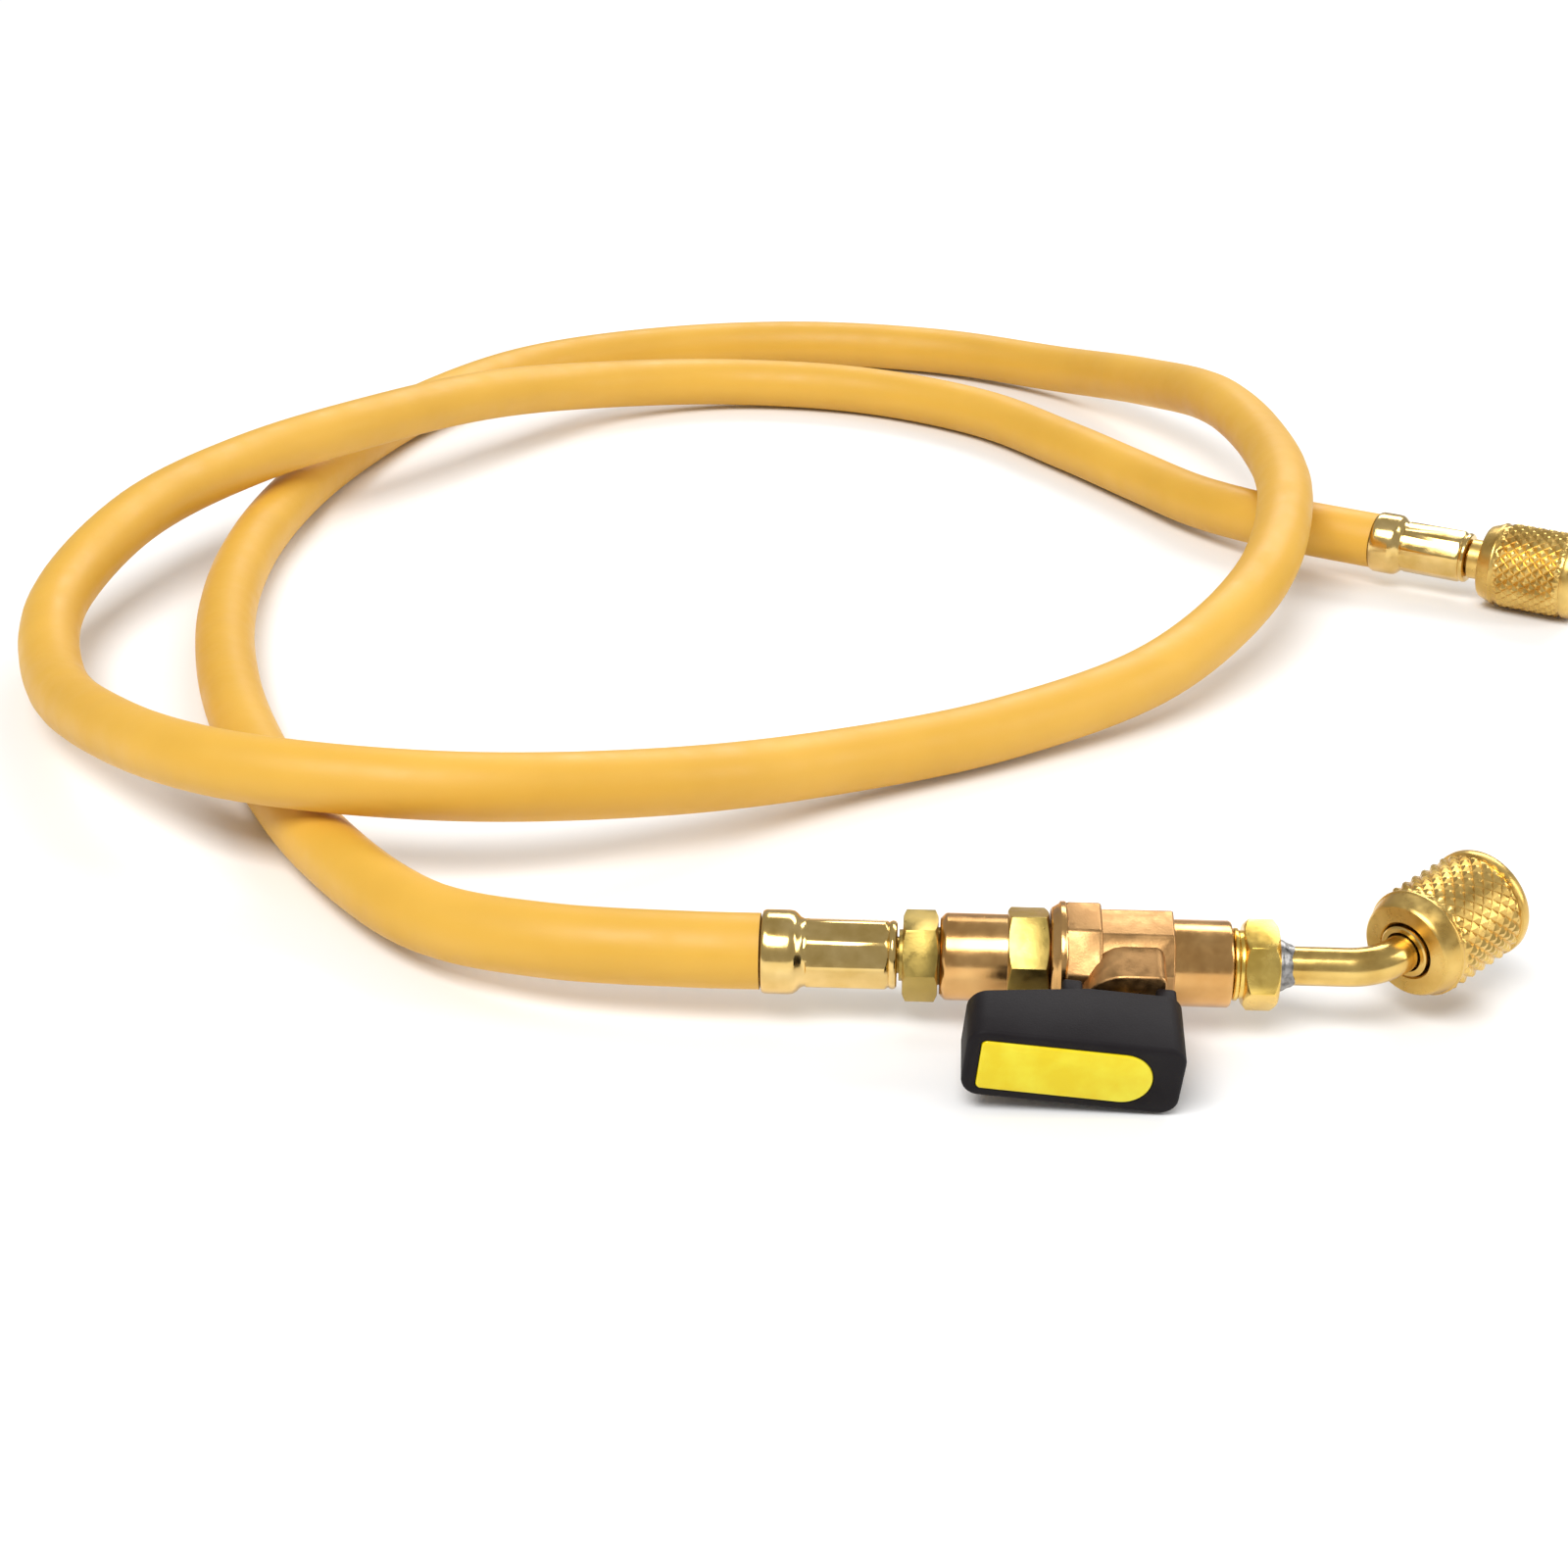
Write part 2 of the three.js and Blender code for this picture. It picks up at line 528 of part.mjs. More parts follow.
// The knurled nut, with its back face at x = 0 and its open end towards +X.
function flareNut() {
  const back = NUT_BACK_DIAMETER / 2;
  const cone = NUT_CONE_DIAMETER / 2;
  const grip = NUT_DIAMETER / 2;
  const rim = NUT_RIM_DIAMETER / 2;
  const rimStart = NUT_LENGTH - NUT_RIM_BAND;
  const neck = NUT_NECK_HOLE_DIAMETER / 2;
  const thread = NUT_THREAD_DIAMETER / 2;
  const mouth = NUT_MOUTH_DIAMETER / 2;
  return turned([[0, neck], [0, back - NUT_CHAMFER], [NUT_CHAMFER, back], [NUT_CONE_LENGTH, cone],
    [NUT_CONE_LENGTH, grip], [rimStart, grip], [rimStart, rim], [NUT_LENGTH - NUT_CHAMFER, rim],
    [NUT_LENGTH, rim - NUT_CHAMFER], [NUT_LENGTH, mouth], [NUT_LENGTH - 0.8, thread],
    [NUT_SHOULDER, thread], [NUT_SHOULDER, neck], [0, neck]], 32);
}

// The neck and flange that hold a nut, as an outline measured from the nut's back face.
function nippleNeck(start) {
  const neck = NUT_NECK_HOLE_DIAMETER / 2 - GAP;
  const flange = NUT_THREAD_DIAMETER / 2 - GAP;
  const flangeStart = NUT_SHOULDER + GAP;
  const flangeEnd = flangeStart + NIPPLE_FLANGE_LENGTH;
  return [[start, neck], [flangeStart, neck], [flangeStart, flange], [flangeEnd, flange]];
}

// Where the seal starts, measured from the nut's back face.
const SEAL_START = NUT_SHOULDER + GAP + NIPPLE_FLANGE_LENGTH + GAP;

// The nipple on the bent tube's end, which holds the nut.
function flareNipple() {
  const tubeEnd = NUT_SHOULDER;
  const neck = turnedBar(nippleNeck(-0.6), 28);
  const socket = TUBE_DIAMETER / 2 + GAP;
  const bore = turnedBar([[-2, socket], [tubeEnd + GAP, socket],
    [tubeEnd + GAP, NIPPLE_BORE_DIAMETER / 2], [SEAL_START + 1, NIPPLE_BORE_DIAMETER / 2]], 20);
  return neck.subtract(bore);
}

function nutSeal() {
  const outer = NUT_THREAD_DIAMETER / 2 - GAP;
  return turnedRing(SEAL_START, SEAL_START + SEAL_LENGTH, SEAL_HOLE_DIAMETER / 2, outer, 28);
}

// The pin that opens the port's core: a flat bar across the bore with a pin on it.
function coreDepressor() {
  const barEnd = SEAL_START - GAP;
  const barStart = barEnd - DEPRESSOR_BAR_LENGTH;
  const across = NIPPLE_BORE_DIAMETER - 2 * GAP;
  const bar = block([DEPRESSOR_BAR_LENGTH, across, DEPRESSOR_PIN_DIAMETER],
    [(barStart + barEnd) / 2, 0, 0]);
  const pin = turnedBar([[barStart + 1, DEPRESSOR_PIN_DIAMETER / 2 - 0.05],
    [SEAL_START + SEAL_LENGTH + DEPRESSOR_PIN_REACH, DEPRESSOR_PIN_DIAMETER / 2 - 0.05]], 12);
  return bar.add(pin);
}

// The straight stem of the far end: tail in the ferrule, neck and flange in the nut.
function couplingStem(nutBack) {
  const neckStart = FERRULE_LENGTH + GAP;
  const tailStart = FERRULE_LENGTH - TAIL_LENGTH;
  const neck = nippleNeck(neckStart - nutBack).map(([x, r]) => [x + nutBack, r]);
  const flangeEnd = neck[neck.length - 1][0];
  const bar = turnedBar([[tailStart, TAIL_DIAMETER / 2], [neckStart, TAIL_DIAMETER / 2],
    ...neck], 28);
  const bore = turnedBar([[tailStart - 1, STEM_BORE_DIAMETER / 2],
    [flangeEnd - 4, STEM_BORE_DIAMETER / 2], [flangeEnd - 4, NIPPLE_BORE_DIAMETER / 2],
    [flangeEnd + 1, NIPPLE_BORE_DIAMETER / 2]], 20);
  return bar.subtract(bore);
}

// A group at a place on the floor plan, turned about Z and then rolled about its own X axis.
function placed([x, y], height, turn, roll) {
  const outer = new THREE.Group();
  outer.position.set(x, y, height);
  outer.rotation.z = radians(turn);
  const inner = new THREE.Group();
  inner.rotation.x = radians(roll);
  outer.add(inner);
  return { outer, inner };
}

// Valve and all that screws or solders to it, with the stem axis at x = 0 along -Y.
function valveGroup(valveRoll) {
  const group = new THREE.Group();
  const capHexEnd = BODY_LEFT - GAP;
  const capSleeveStart = capHexEnd - CAP_HEX_LENGTH - CAP_SLEEVE_LENGTH;
  const stemHexEnd = capSleeveStart - GAP;
  const ferruleEnd = stemHexEnd - STEM_HEX_LENGTH - STEM_NECK_LENGTH - GAP;
  const bodyEnd = BODY_LEFT + RIM_LENGTH + SHOULDER_LENGTH + BODY_LENGTH + BODY_SLEEVE_LENGTH;
  const adapterEnd = bodyEnd + GAP + ADAPTER_RING_LENGTH + ADAPTER_HEX_LENGTH;
  const mouth = ferruleEnd - FERRULE_LENGTH;

  const crimp = named("valve_ferrule", ferrule(), MATERIALS.polishedBrass);
  crimp.position.x = mouth;
  const tube = new THREE.Group();
  tube.rotation.x = radians(TUBE_RISE - valveRoll);
  const tubeStart = adapterEnd - TUBE_SOCKET_DEPTH + GAP;
  const tubeReach = TUBE_BEFORE_NUT + NUT_SHOULDER;
  tube.add(named("bent_tube", bentTube(tubeStart, tubeReach), MATERIALS.goldenBrass));

  // The lever and what it turns rest a little past the line of the flow.
  const handle = new THREE.Group();
  handle.rotation.y = radians(LEVER_REST_TURN);
  handle.add(
    named("ball", ball(), MATERIALS.chrome),
    named("spindle", spindle(), MATERIALS.goldenBrass),
    named("lever", lever(), MATERIALS.leverPlastic),
    named("lever_insert", leverInsert(), MATERIALS.insertPlastic),
  );

  const end = bendEnd();
  const nutEnd = new THREE.Group();
  nutEnd.position.set(end.x + TUBE_BEFORE_NUT * Math.cos(end.angle),
    end.side + TUBE_BEFORE_NUT * Math.sin(end.angle), 0);
  nutEnd.rotation.z = end.angle;
  nutEnd.add(
    named("flare_nipple", flareNipple(), MATERIALS.goldenBrass),
    named("core_depressor", coreDepressor(), MATERIALS.goldenBrass),
    named("swivel_nut_seal", nutSeal(), MATERIALS.sealRubber),
    named("swivel_nut", flareNut(), MATERIALS.goldenBrass),
  );
  tube.add(nutEnd);

  group.add(
    crimp,
    named("hose_stem", hoseStem(ferruleEnd), MATERIALS.hexBrass),
    named("valve_end_cap", endCap(capSleeveStart, capHexEnd), MATERIALS.turnedBrass),
    named("valve_body", valveBody(), MATERIALS.forgedBrass),
    handle,
    named("ball_seat_inlet", ballSeat(-1), MATERIALS.seatPlastic),
    named("ball_seat_outlet", ballSeat(1), MATERIALS.seatPlastic),
    named("tube_adapter", tubeAdapter(bodyEnd), MATERIALS.goldenBrass),
    named("solder_joint", solderJoint(adapterEnd + GAP), MATERIALS.solder),
    tube,
  );
  return { group, mouth };
}

// The straight coupling, with the mouth of its ferrule at x = 0.
function couplingGroup() {
  const group = new THREE.Group();
  const nutBack = FERRULE_LENGTH + GAP + COUPLING_NECK_LENGTH;
  const nut = new THREE.Group();
  nut.position.x = nutBack;
  nut.add(
    named("coupling_nut", flareNut(), MATERIALS.goldenBrass),
    named("coupling_seal", nutSeal(), MATERIALS.sealRubber),
  );
  group.add(
    named("coupling_ferrule", ferrule(), MATERIALS.polishedBrass),
    named("coupling_stem", couplingStem(nutBack), MATERIALS.goldenBrass),
    nut,
  );
  return group;
}

// The hose between the two ferrule mouths, straight for a stub at each end.
function hoseBetween(start, startHeading, finish, finishHeading) {
  const along = (point, heading, distance) => point.clone().addScaledVector(heading, distance);
  const points = [
    along(start, startHeading, GAP),
    along(start, startHeading, HOSE_STUB),
    ...ROUTE.map(([x, y, z]) => new THREE.Vector3(x, y, z)),
    along(finish, finishHeading, HOSE_STUB),
    along(finish, finishHeading, GAP),
  ];
  const path = new THREE.CatmullRomCurve3(points, false, "centripetal");
  path.arcLengthDivisions = 2000;
  const section = new THREE.Shape();
  section.absarc(0, 0, HOSE_DIAMETER / 2, 0, 2 * Math.PI, false);
  const geometry = new THREE.ExtrudeGeometry(section,
    { steps: HOSE_STEPS, extrudePath: path, curveSegments: HOSE_SIDES });
  return solid(geometry);
}

const part = new THREE.Group();

const valve = valveGroup(VALVE_ROLL);
const valvePlace = placed(VALVE_PLACE, VALVE_HEIGHT, VALVE_TURN, VALVE_ROLL);
valvePlace.inner.add(valve.group);
part.add(valvePlace.outer);

const couplingPlace = placed(COUPLING_PLACE, NUT_DIAMETER / 2, COUPLING_TURN, 0);
couplingPlace.inner.add(couplingGroup());
part.add(couplingPlace.outer);

part.updateMatrixWorld(true);
const valveMouth = valvePlace.inner.localToWorld(new THREE.Vector3(valve.mouth, 0, 0));
const valveHeading = valveMouth.clone()
  .sub(valvePlace.inner.localToWorld(new THREE.Vector3(valve.mouth + 1, 0, 0)));
const couplingMouth = couplingPlace.inner.localToWorld(new THREE.Vector3(0, 0, 0));
const couplingHeading = couplingMouth.clone()
  .sub(couplingPlace.inner.localToWorld(new THREE.Vector3(1, 0, 0)));
const hose = hoseBetween(valveMouth, valveHeading, couplingMouth, couplingHeading);
part.add(named("hose", hose, MATERIALS.rubber));

export default part;
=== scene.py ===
# Dresses the refrigerant charging hose: yellow rubber hose, brass fittings, black lever with a
# yellow insert. Metres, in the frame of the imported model. Sizes written with MM are millimetres.
import json
import math

import bmesh
import bpy
from mathutils import Matrix, Vector

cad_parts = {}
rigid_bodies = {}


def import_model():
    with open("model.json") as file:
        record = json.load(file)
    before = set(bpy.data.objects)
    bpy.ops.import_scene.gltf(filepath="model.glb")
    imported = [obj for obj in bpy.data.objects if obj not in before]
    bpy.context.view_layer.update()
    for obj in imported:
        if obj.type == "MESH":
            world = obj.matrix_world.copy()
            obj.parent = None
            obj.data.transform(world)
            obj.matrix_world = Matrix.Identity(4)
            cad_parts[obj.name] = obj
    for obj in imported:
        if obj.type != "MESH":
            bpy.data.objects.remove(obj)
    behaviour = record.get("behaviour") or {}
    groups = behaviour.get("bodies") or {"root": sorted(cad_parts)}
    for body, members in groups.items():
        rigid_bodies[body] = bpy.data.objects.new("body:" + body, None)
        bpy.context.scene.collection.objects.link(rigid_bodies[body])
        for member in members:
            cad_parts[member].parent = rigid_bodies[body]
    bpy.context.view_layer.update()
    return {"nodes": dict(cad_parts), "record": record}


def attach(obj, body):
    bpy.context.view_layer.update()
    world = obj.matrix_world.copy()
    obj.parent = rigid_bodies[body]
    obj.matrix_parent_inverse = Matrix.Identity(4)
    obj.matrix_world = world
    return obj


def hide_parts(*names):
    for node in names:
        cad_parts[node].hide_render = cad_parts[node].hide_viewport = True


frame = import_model()

MM = 0.001
GAP = 0.3 * MM

# Camera: height over the floor, pitch and focal length give the photograph's view
IMAGE_SIDE = 1600
CAMERA_PLACE = Vector((-88.9, -479.5, 224.9)) * MM
CAMERA_PITCH = math.radians(25)
CAMERA_FOCAL_PIXELS = 2787.9
SENSOR = 36.0

# Hose
HOSE_DIAMETER = 12.5 * MM
HOSE_STUB = 12 * MM
HOSE_ROUTE = [
    (-128.6, -81.7, 11), (-149.6, -68.7, 8.5), (-171.6, -38.7, 7),
    (-189.6, -0.7, 6.25), (-202.6, 37.3, 6.25), (-210.6, 77.3, 6.25),
    (-212.6, 117.3, 6.25), (-208.6, 157.3, 6.25), (-198.6, 197.3, 6.25),
    (-183.6, 234.3, 6.25), (-159.6, 266.3, 6.25), (-123.6, 285.3, 6.25),
    (-83.6, 291.3, 6.25), (-44.6, 282.3, 6.5), (-12.6, 259.3, 8),
    (7.4, 225.3, 14.5), (20.4, 187.3, 21), (26.4, 147.3, 22),
    (24.4, 107.3, 21.75), (12.4, 68.3, 16.5), (-11.6, 37.3, 9.75),
    (-44.6, 14.3, 7), (-79.6, -5.7, 8.5), (-113.6, -27.7, 14.5),
    (-150.6, -39.7, 19.5), (-189.6, -30.7, 19.5), (-217.6, -2.7, 14.5),
    (-236.6, 31.3, 10), (-244.6, 68.3, 12.5), (-235.6, 107.3, 18.25),
    (-216.6, 143.3, 19.75), (-190.6, 174.3, 19.75), (-166.6, 205.3, 16.75),
    (-140.6, 235.3, 10.5), (-105.6, 250.3, 7), (-68.6, 245.3, 6.25),
    (-36.6, 224.3, 6.25), (-15.6, 195.3, 6.25), (-0.6, 170.3, 6.5),
    (11.4, 148.3, 7.5), (24.4, 131.3, 9),
]

# Places along the valve, in millimetres from the lever's axis towards the bent tube
FERRULE_MOUTH = -58.0
FERRULE_LENGTH = 22.0
STEM_NECK_END = -35.1
STEM_HEX_END = -29.4
CAP_START = -29.1
CAP_HEX_START = -18.2
CAP_HEX_END = -11.6
BODY_START = -11.3
RIM_END = -8.8
SHOULDER_END = -3.3
BLOCK_END = 8.3
BODY_END = 17.7
ADAPTER_RING_START = 18.0
ADAPTER_HEX_START = 19.6
ADAPTER_HEX_END = 25.2
SOLDER_END = 27.9
TUBE_STRAIGHT_END = 36.5
TUBE_BEND_RADIUS = 12.0
TUBE_BEND_ANGLE = math.radians(45)
TUBE_RISE = math.radians(8)
TUBE_BEFORE_NUT = 2.0
LEVER_REST_TURN = math.radians(5.5)


def joint_named(name):
    return next(joint for joint in frame["record"]["behaviour"]["joints"] if joint["name"] == name)


def axes_frame(place, along, towards):
    """The matrix whose X runs along a fitting and whose -Y points as near as it can to towards."""
    x = Vector(along).normalized()
    y = -(Vector(towards) - x * x.dot(Vector(towards))).normalized()
    z = x.cross(y)
    turn = Matrix((x, y, z)).transposed().to_4x4()
    return Matrix.Translation(Vector(place)) @ turn


LEVER_JOINT = joint_named("lever_turn")
LEVER_WAY = -Vector(LEVER_JOINT["axis"])
FLOW_WAY = -LEVER_WAY.cross(Vector((0, 0, 1))).normalized()
VALVE = axes_frame(LEVER_JOINT["pos_m"], FLOW_WAY, LEVER_WAY)
HANDLE = VALVE @ Matrix.Rotation(LEVER_REST_TURN, 4, "Y")
SWIVEL_JOINT = joint_named("swivel_nut_spin")
SWIVEL = axes_frame(SWIVEL_JOINT["pos_m"], SWIVEL_JOINT["axis"], (0, -1, 0))
COUPLING_JOINT = joint_named("coupling_nut_spin")
COUPLING = axes_frame(COUPLING_JOINT["pos_m"], COUPLING_JOINT["axis"], (0, -1, 0))
COUPLING_FERRULE_MOUTH = -25.8
ROOT = LEVER_JOINT["parent"]
LEVER_BODY = LEVER_JOINT["child"]


# Camera

def make_camera():
    data = bpy.data.cameras.new("photo_camera")
    data.sensor_width = SENSOR
    data.lens = SENSOR * CAMERA_FOCAL_PIXELS / IMAGE_SIDE
    data.clip_start = 0.01
    data.clip_end = 20
    camera = bpy.data.objects.new("photo_camera", data)
    camera.location = CAMERA_PLACE
    camera.rotation_euler = (math.pi / 2 - CAMERA_PITCH, 0, 0)
    bpy.context.scene.collection.objects.link(camera)
    bpy.context.scene.camera = camera


# Mesh helpers

def finished(name, bm, place, material, smooth_angle=32):
    """Puts a bmesh made in millimetres into its place in the model, as one object."""
    bmesh.ops.remove_doubles(bm, verts=bm.verts, dist=1e-4)
    bmesh.ops.recalc_face_normals(bm, faces=bm.faces)
    bmesh.ops.transform(bm, matrix=place @ Matrix.Scale(MM, 4), verts=bm.verts)
    mesh = bpy.data.meshes.new(name)
    bm.to_mesh(mesh)
    bm.free()
    mesh.shade_smooth()
    mesh.set_sharp_from_angle(angle=math.radians(smooth_angle))
    mesh.materials.append(material)
    piece = bpy.data.objects.new(name, mesh)
    bpy.context.scene.collection.objects.link(piece)
    return piece


def spin_outline(bm, outline, segments=96):
    """Spins a list of (x, radius) about the X axis into a closed skin."""
    verts = [bm.verts.new((x, 0, max(r, 0))) for x, r in outline]
    edges = [bm.edges.new(pair) for pair in zip(verts, verts[1:])]
    if outline[0] != outline[-1] and min(outline[0][1], outline[-1][1]) > 0:
        edges.append(bm.edges.new((verts[-1], verts[0])))
    bmesh.ops.spin(bm, geom=verts + edges, cent=(0, 0, 0), axis=(1, 0, 0), angle=2 * math.pi,
                   steps=segments, use_merge=True)
    bmesh.ops.remove_doubles(bm, verts=bm.verts, dist=1e-4)


def turned(outline, segments=96):
    bm = bmesh.new()
    spin_outline(bm, outline, segments)
    bmesh.ops.recalc_face_normals(bm, faces=bm.faces)
    return bm


def flat_sided(sides, across_flats, start, end, roll):
    """A bar with flat sides along X. At roll 0 one corner points along -Y."""
    radius = across_flats / 2 / math.cos(math.pi / sides)
    bm = bmesh.new()
    bmesh.ops.create_circle(bm, cap_ends=True, segments=sides, radius=radius)
    turn = Matrix.Rotation(math.radians(-roll), 4, "X")
    stand = Matrix.Translation((start, 0, 0)) @ turn @ Matrix.Rotation(math.pi, 4, "X") \
        @ Matrix.Rotation(math.pi / 2, 4, "Y")
    aim = Matrix.Rotation(math.pi / 2, 4, "Z")
    bmesh.ops.transform(bm, matrix=stand @ aim, verts=bm.verts)
    grown = bmesh.ops.extrude_face_region(bm, geom=bm.faces[:])["geom"]
    moved = [g for g in grown if isinstance(g, bmesh.types.BMVert)]
    bmesh.ops.translate(bm, verts=moved, vec=(end - start, 0, 0))
    bmesh.ops.recalc_face_normals(bm, faces=bm.faces)
    return bm


def bevel_sharp(bm, width, segments=2, angle=25):
    """Rounds every edge sharper than an angle."""
    edges = [e for e in bm.edges if len(e.link_faces) == 2
             and e.calc_face_angle() > math.radians(angle)]
    bmesh.ops.bevel(bm, geom=edges, offset=width, offset_type="OFFSET", affect="EDGES",
                    segments=segments, profile=0.5, material=-1, clamp_overlap=True)


def joined(base, steps):
    """Adds or cuts bmeshes, in order, with exact booleans. Returns a new bmesh."""
    scratch = []

    def as_object(bm, name):
        mesh = bpy.data.meshes.new(name)
        bmesh.ops.recalc_face_normals(bm, faces=bm.faces)
        bm.to_mesh(mesh)
        bm.free()
        made = bpy.data.objects.new(name, mesh)
        bpy.context.scene.collection.objects.link(made)
        scratch.append(made)
        return made

    body = as_object(base, "boolean_base")
    for number, (operation, bm) in enumerate(steps):
        modifier = body.modifiers.new(f"step_{number}", "BOOLEAN")
        modifier.operation = operation
        modifier.object = as_object(bm, f"boolean_step_{number}")
        modifier.solver = "EXACT"
    bpy.context.view_layer.update()
    evaluated = body.evaluated_get(bpy.context.evaluated_depsgraph_get())
    mesh = bpy.data.meshes.new_from_object(evaluated)
    result = bmesh.new()
    result.from_mesh(mesh)
    for made in scratch:
        data = made.data
        bpy.data.objects.remove(made)
        bpy.data.meshes.remove(data)
    bpy.data.meshes.remove(mesh)
    bmesh.ops.remove_doubles(result, verts=result.verts, dist=1e-3)
    bmesh.ops.dissolve_limit(result, angle_limit=math.radians(0.5), verts=result.verts,
                             edges=result.edges)
    return result


def shown_as(piece, node, body=ROOT):
    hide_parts(node)
    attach(piece, body)
    return piece


# Materials

def new_material(name):
    material = bpy.data.materials.new(name)
    material.use_nodes = True
    nodes = material.node_tree.nodes
    return material, nodes, material.node_tree.links, nodes["Principled BSDF"]


def noise(nodes, links, coords, scale, detail=3.0, stretch=(1, 1, 1)):
    """A noise pattern over the piece's own coordinates, stretched along its axes."""
    mapping = nodes.new("ShaderNodeMapping")
    mapping.inputs["Scale"].default_value = stretch
    links.new(coords, mapping.inputs["Vector"])
    texture = nodes.new("ShaderNodeTexNoise")
    texture.inputs["Scale"].default_value = scale
    texture.inputs["Detail"].default_value = detail
    links.new(mapping.outputs["Vector"], texture.inputs["Vector"])
    return texture.outputs["Fac"]


def blended(nodes, links, factor, low, high, colours):
    """A colour ramp from one colour to the next between two values of a pattern."""
    ramp = nodes.new("ShaderNodeValToRGB")
    ramp.color_ramp.elements[0].position = low
    ramp.color_ramp.elements[1].position = high
    ramp.color_ramp.elements[0].color = (*colours[0], 1)
    ramp.color_ramp.elements[1].color = (*colours[1], 1)
    links.new(factor, ramp.inputs["Fac"])
    return ramp.outputs["Color"]


def ranged(nodes, links, factor, low, high):
    """A pattern brought from about 0.3 to 0.7 into a range of its own."""
    remap = nodes.new("ShaderNodeMapRange")
    remap.inputs["From Min"].default_value = 0.3
    remap.inputs["From Max"].default_value = 0.7
    remap.inputs["To Min"].default_value = low
    remap.inputs["To Max"].default_value = high
    links.new(factor, remap.inputs["Value"])
    return remap.outputs["Result"]


def bump(nodes, links, height, shader, strength, distance):
    node = nodes.new("ShaderNodeBump")
    node.inputs["Strength"].default_value = strength
    node.inputs["Distance"].default_value = distance
    links.new(height, node.inputs["Height"])
    links.new(node.outputs["Normal"], shader.inputs["Normal"])


def brass(name, dark, light, roughness, turn_marks=None, marks_strength=0.2, patch=140):
    """Brass with a cloudy tarnish. turn_marks is the direction that the tool's rings go across."""
    material, nodes, links, shader = new_material(name)
    coords = nodes.new("ShaderNodeTexCoord").outputs["Object"]
    cloud = noise(nodes, links, coords, patch, 5)
    links.new(blended(nodes, links, cloud, 0.35, 0.65, (dark, light)), shader.inputs["Base Color"])
    shader.inputs["Metallic"].default_value = 1
    smudge = noise(nodes, links, coords, patch * 4, 4)
    links.new(ranged(nodes, links, smudge, roughness * 0.8, roughness * 1.35),
              shader.inputs["Roughness"])
    if turn_marks is None:
        grain = noise(nodes, links, coords, 2600, 3)
        bump(nodes, links, grain, shader, marks_strength, 0.03 * MM)
        return material
    along = nodes.new("ShaderNodeVectorMath")
    along.operation = "DOT_PRODUCT"
    along.inputs[1].default_value = turn_marks
    links.new(coords, along.inputs[0])
    rings = nodes.new("ShaderNodeTexNoise")
    rings.noise_dimensions = "1D"
    rings.inputs["Scale"].default_value = 5200
    rings.inputs["Detail"].default_value = 4
    links.new(along.outputs["Value"], rings.inputs["W"])
    bump(nodes, links, rings.outputs["Fac"], shader, marks_strength, 0.02 * MM)
    return material


def hose_rubber():
    material, nodes, links, shader = new_material("yellow_hose_rubber")
    coords = nodes.new("ShaderNodeTexCoord").outputs["Object"]
    cloud = noise(nodes, links, coords, 28, 4)
    links.new(blended(nodes, links, cloud, 0.3, 0.7, ((0.62, 0.338, 0.034), (0.71, 0.400, 0.050))),
              shader.inputs["Base Color"])
    rub = noise(nodes, links, coords, 160, 4)
    links.new(ranged(nodes, links, rub, 0.42, 0.58), shader.inputs["Roughness"])
    shader.inputs["Specular IOR Level"].default_value = 0.45
    shader.inputs["Subsurface Weight"].default_value = 0.06
    shader.inputs["Subsurface Radius"].default_value = (0.004, 0.002, 0.0006)
    grain = noise(nodes, links, coords, 1900, 4)
    bump(nodes, links, grain, shader, 0.25, 0.05 * MM)
    return material


def lever_plastic():
    material, nodes, links, shader = new_material("black_lever_plastic")
    coords = nodes.new("ShaderNodeTexCoord").outputs["Object"]
    cloud = noise(nodes, links, coords, 90, 3)
    links.new(blended(nodes, links, cloud, 0.3, 0.7, ((0.006, 0.004, 0.005), (0.011, 0.009, 0.010))),
              shader.inputs["Base Color"])
    shader.inputs["Roughness"].default_value = 0.58
    shader.inputs["Specular IOR Level"].default_value = 0.14
    grain = noise(nodes, links, coords, 3200, 3)
    bump(nodes, links, grain, shader, 0.5, 0.06 * MM)
    return material


def insert_plastic():
    material, nodes, links, shader = new_material("yellow_insert_plastic")
    coords = nodes.new("ShaderNodeTexCoord").outputs["Object"]
    cloud = noise(nodes, links, coords, 190, 4)
    links.new(blended(nodes, links, cloud, 0.35, 0.68, ((0.76, 0.58, 0.001), (0.82, 0.72, 0.03))),
              shader.inputs["Base Color"])
    shader.inputs["Roughness"].default_value = 0.28
    shader.inputs["Specular IOR Level"].default_value = 0.3
    shader.inputs["Coat Weight"].default_value = 0.2
    shader.inputs["Coat Roughness"].default_value = 0.1
    wave = noise(nodes, links, coords, 320, 2)
    bump(nodes, links, wave, shader, 0.12, 0.05 * MM)
    return material


def seal_rubber():
    material, nodes, links, shader = new_material("black_seal_rubber")
    coords = nodes.new("ShaderNodeTexCoord").outputs["Object"]
    cloud = noise(nodes, links, coords, 300, 3)
    links.new(blended(nodes, links, cloud, 0.3, 0.7, ((0.012, 0.012, 0.013), (0.025, 0.025, 0.027))),
              shader.inputs["Base Color"])
    shader.inputs["Roughness"].default_value = 0.6
    bump(nodes, links, noise(nodes, links, coords, 2400, 3), shader, 0.3, 0.04 * MM)
    return material


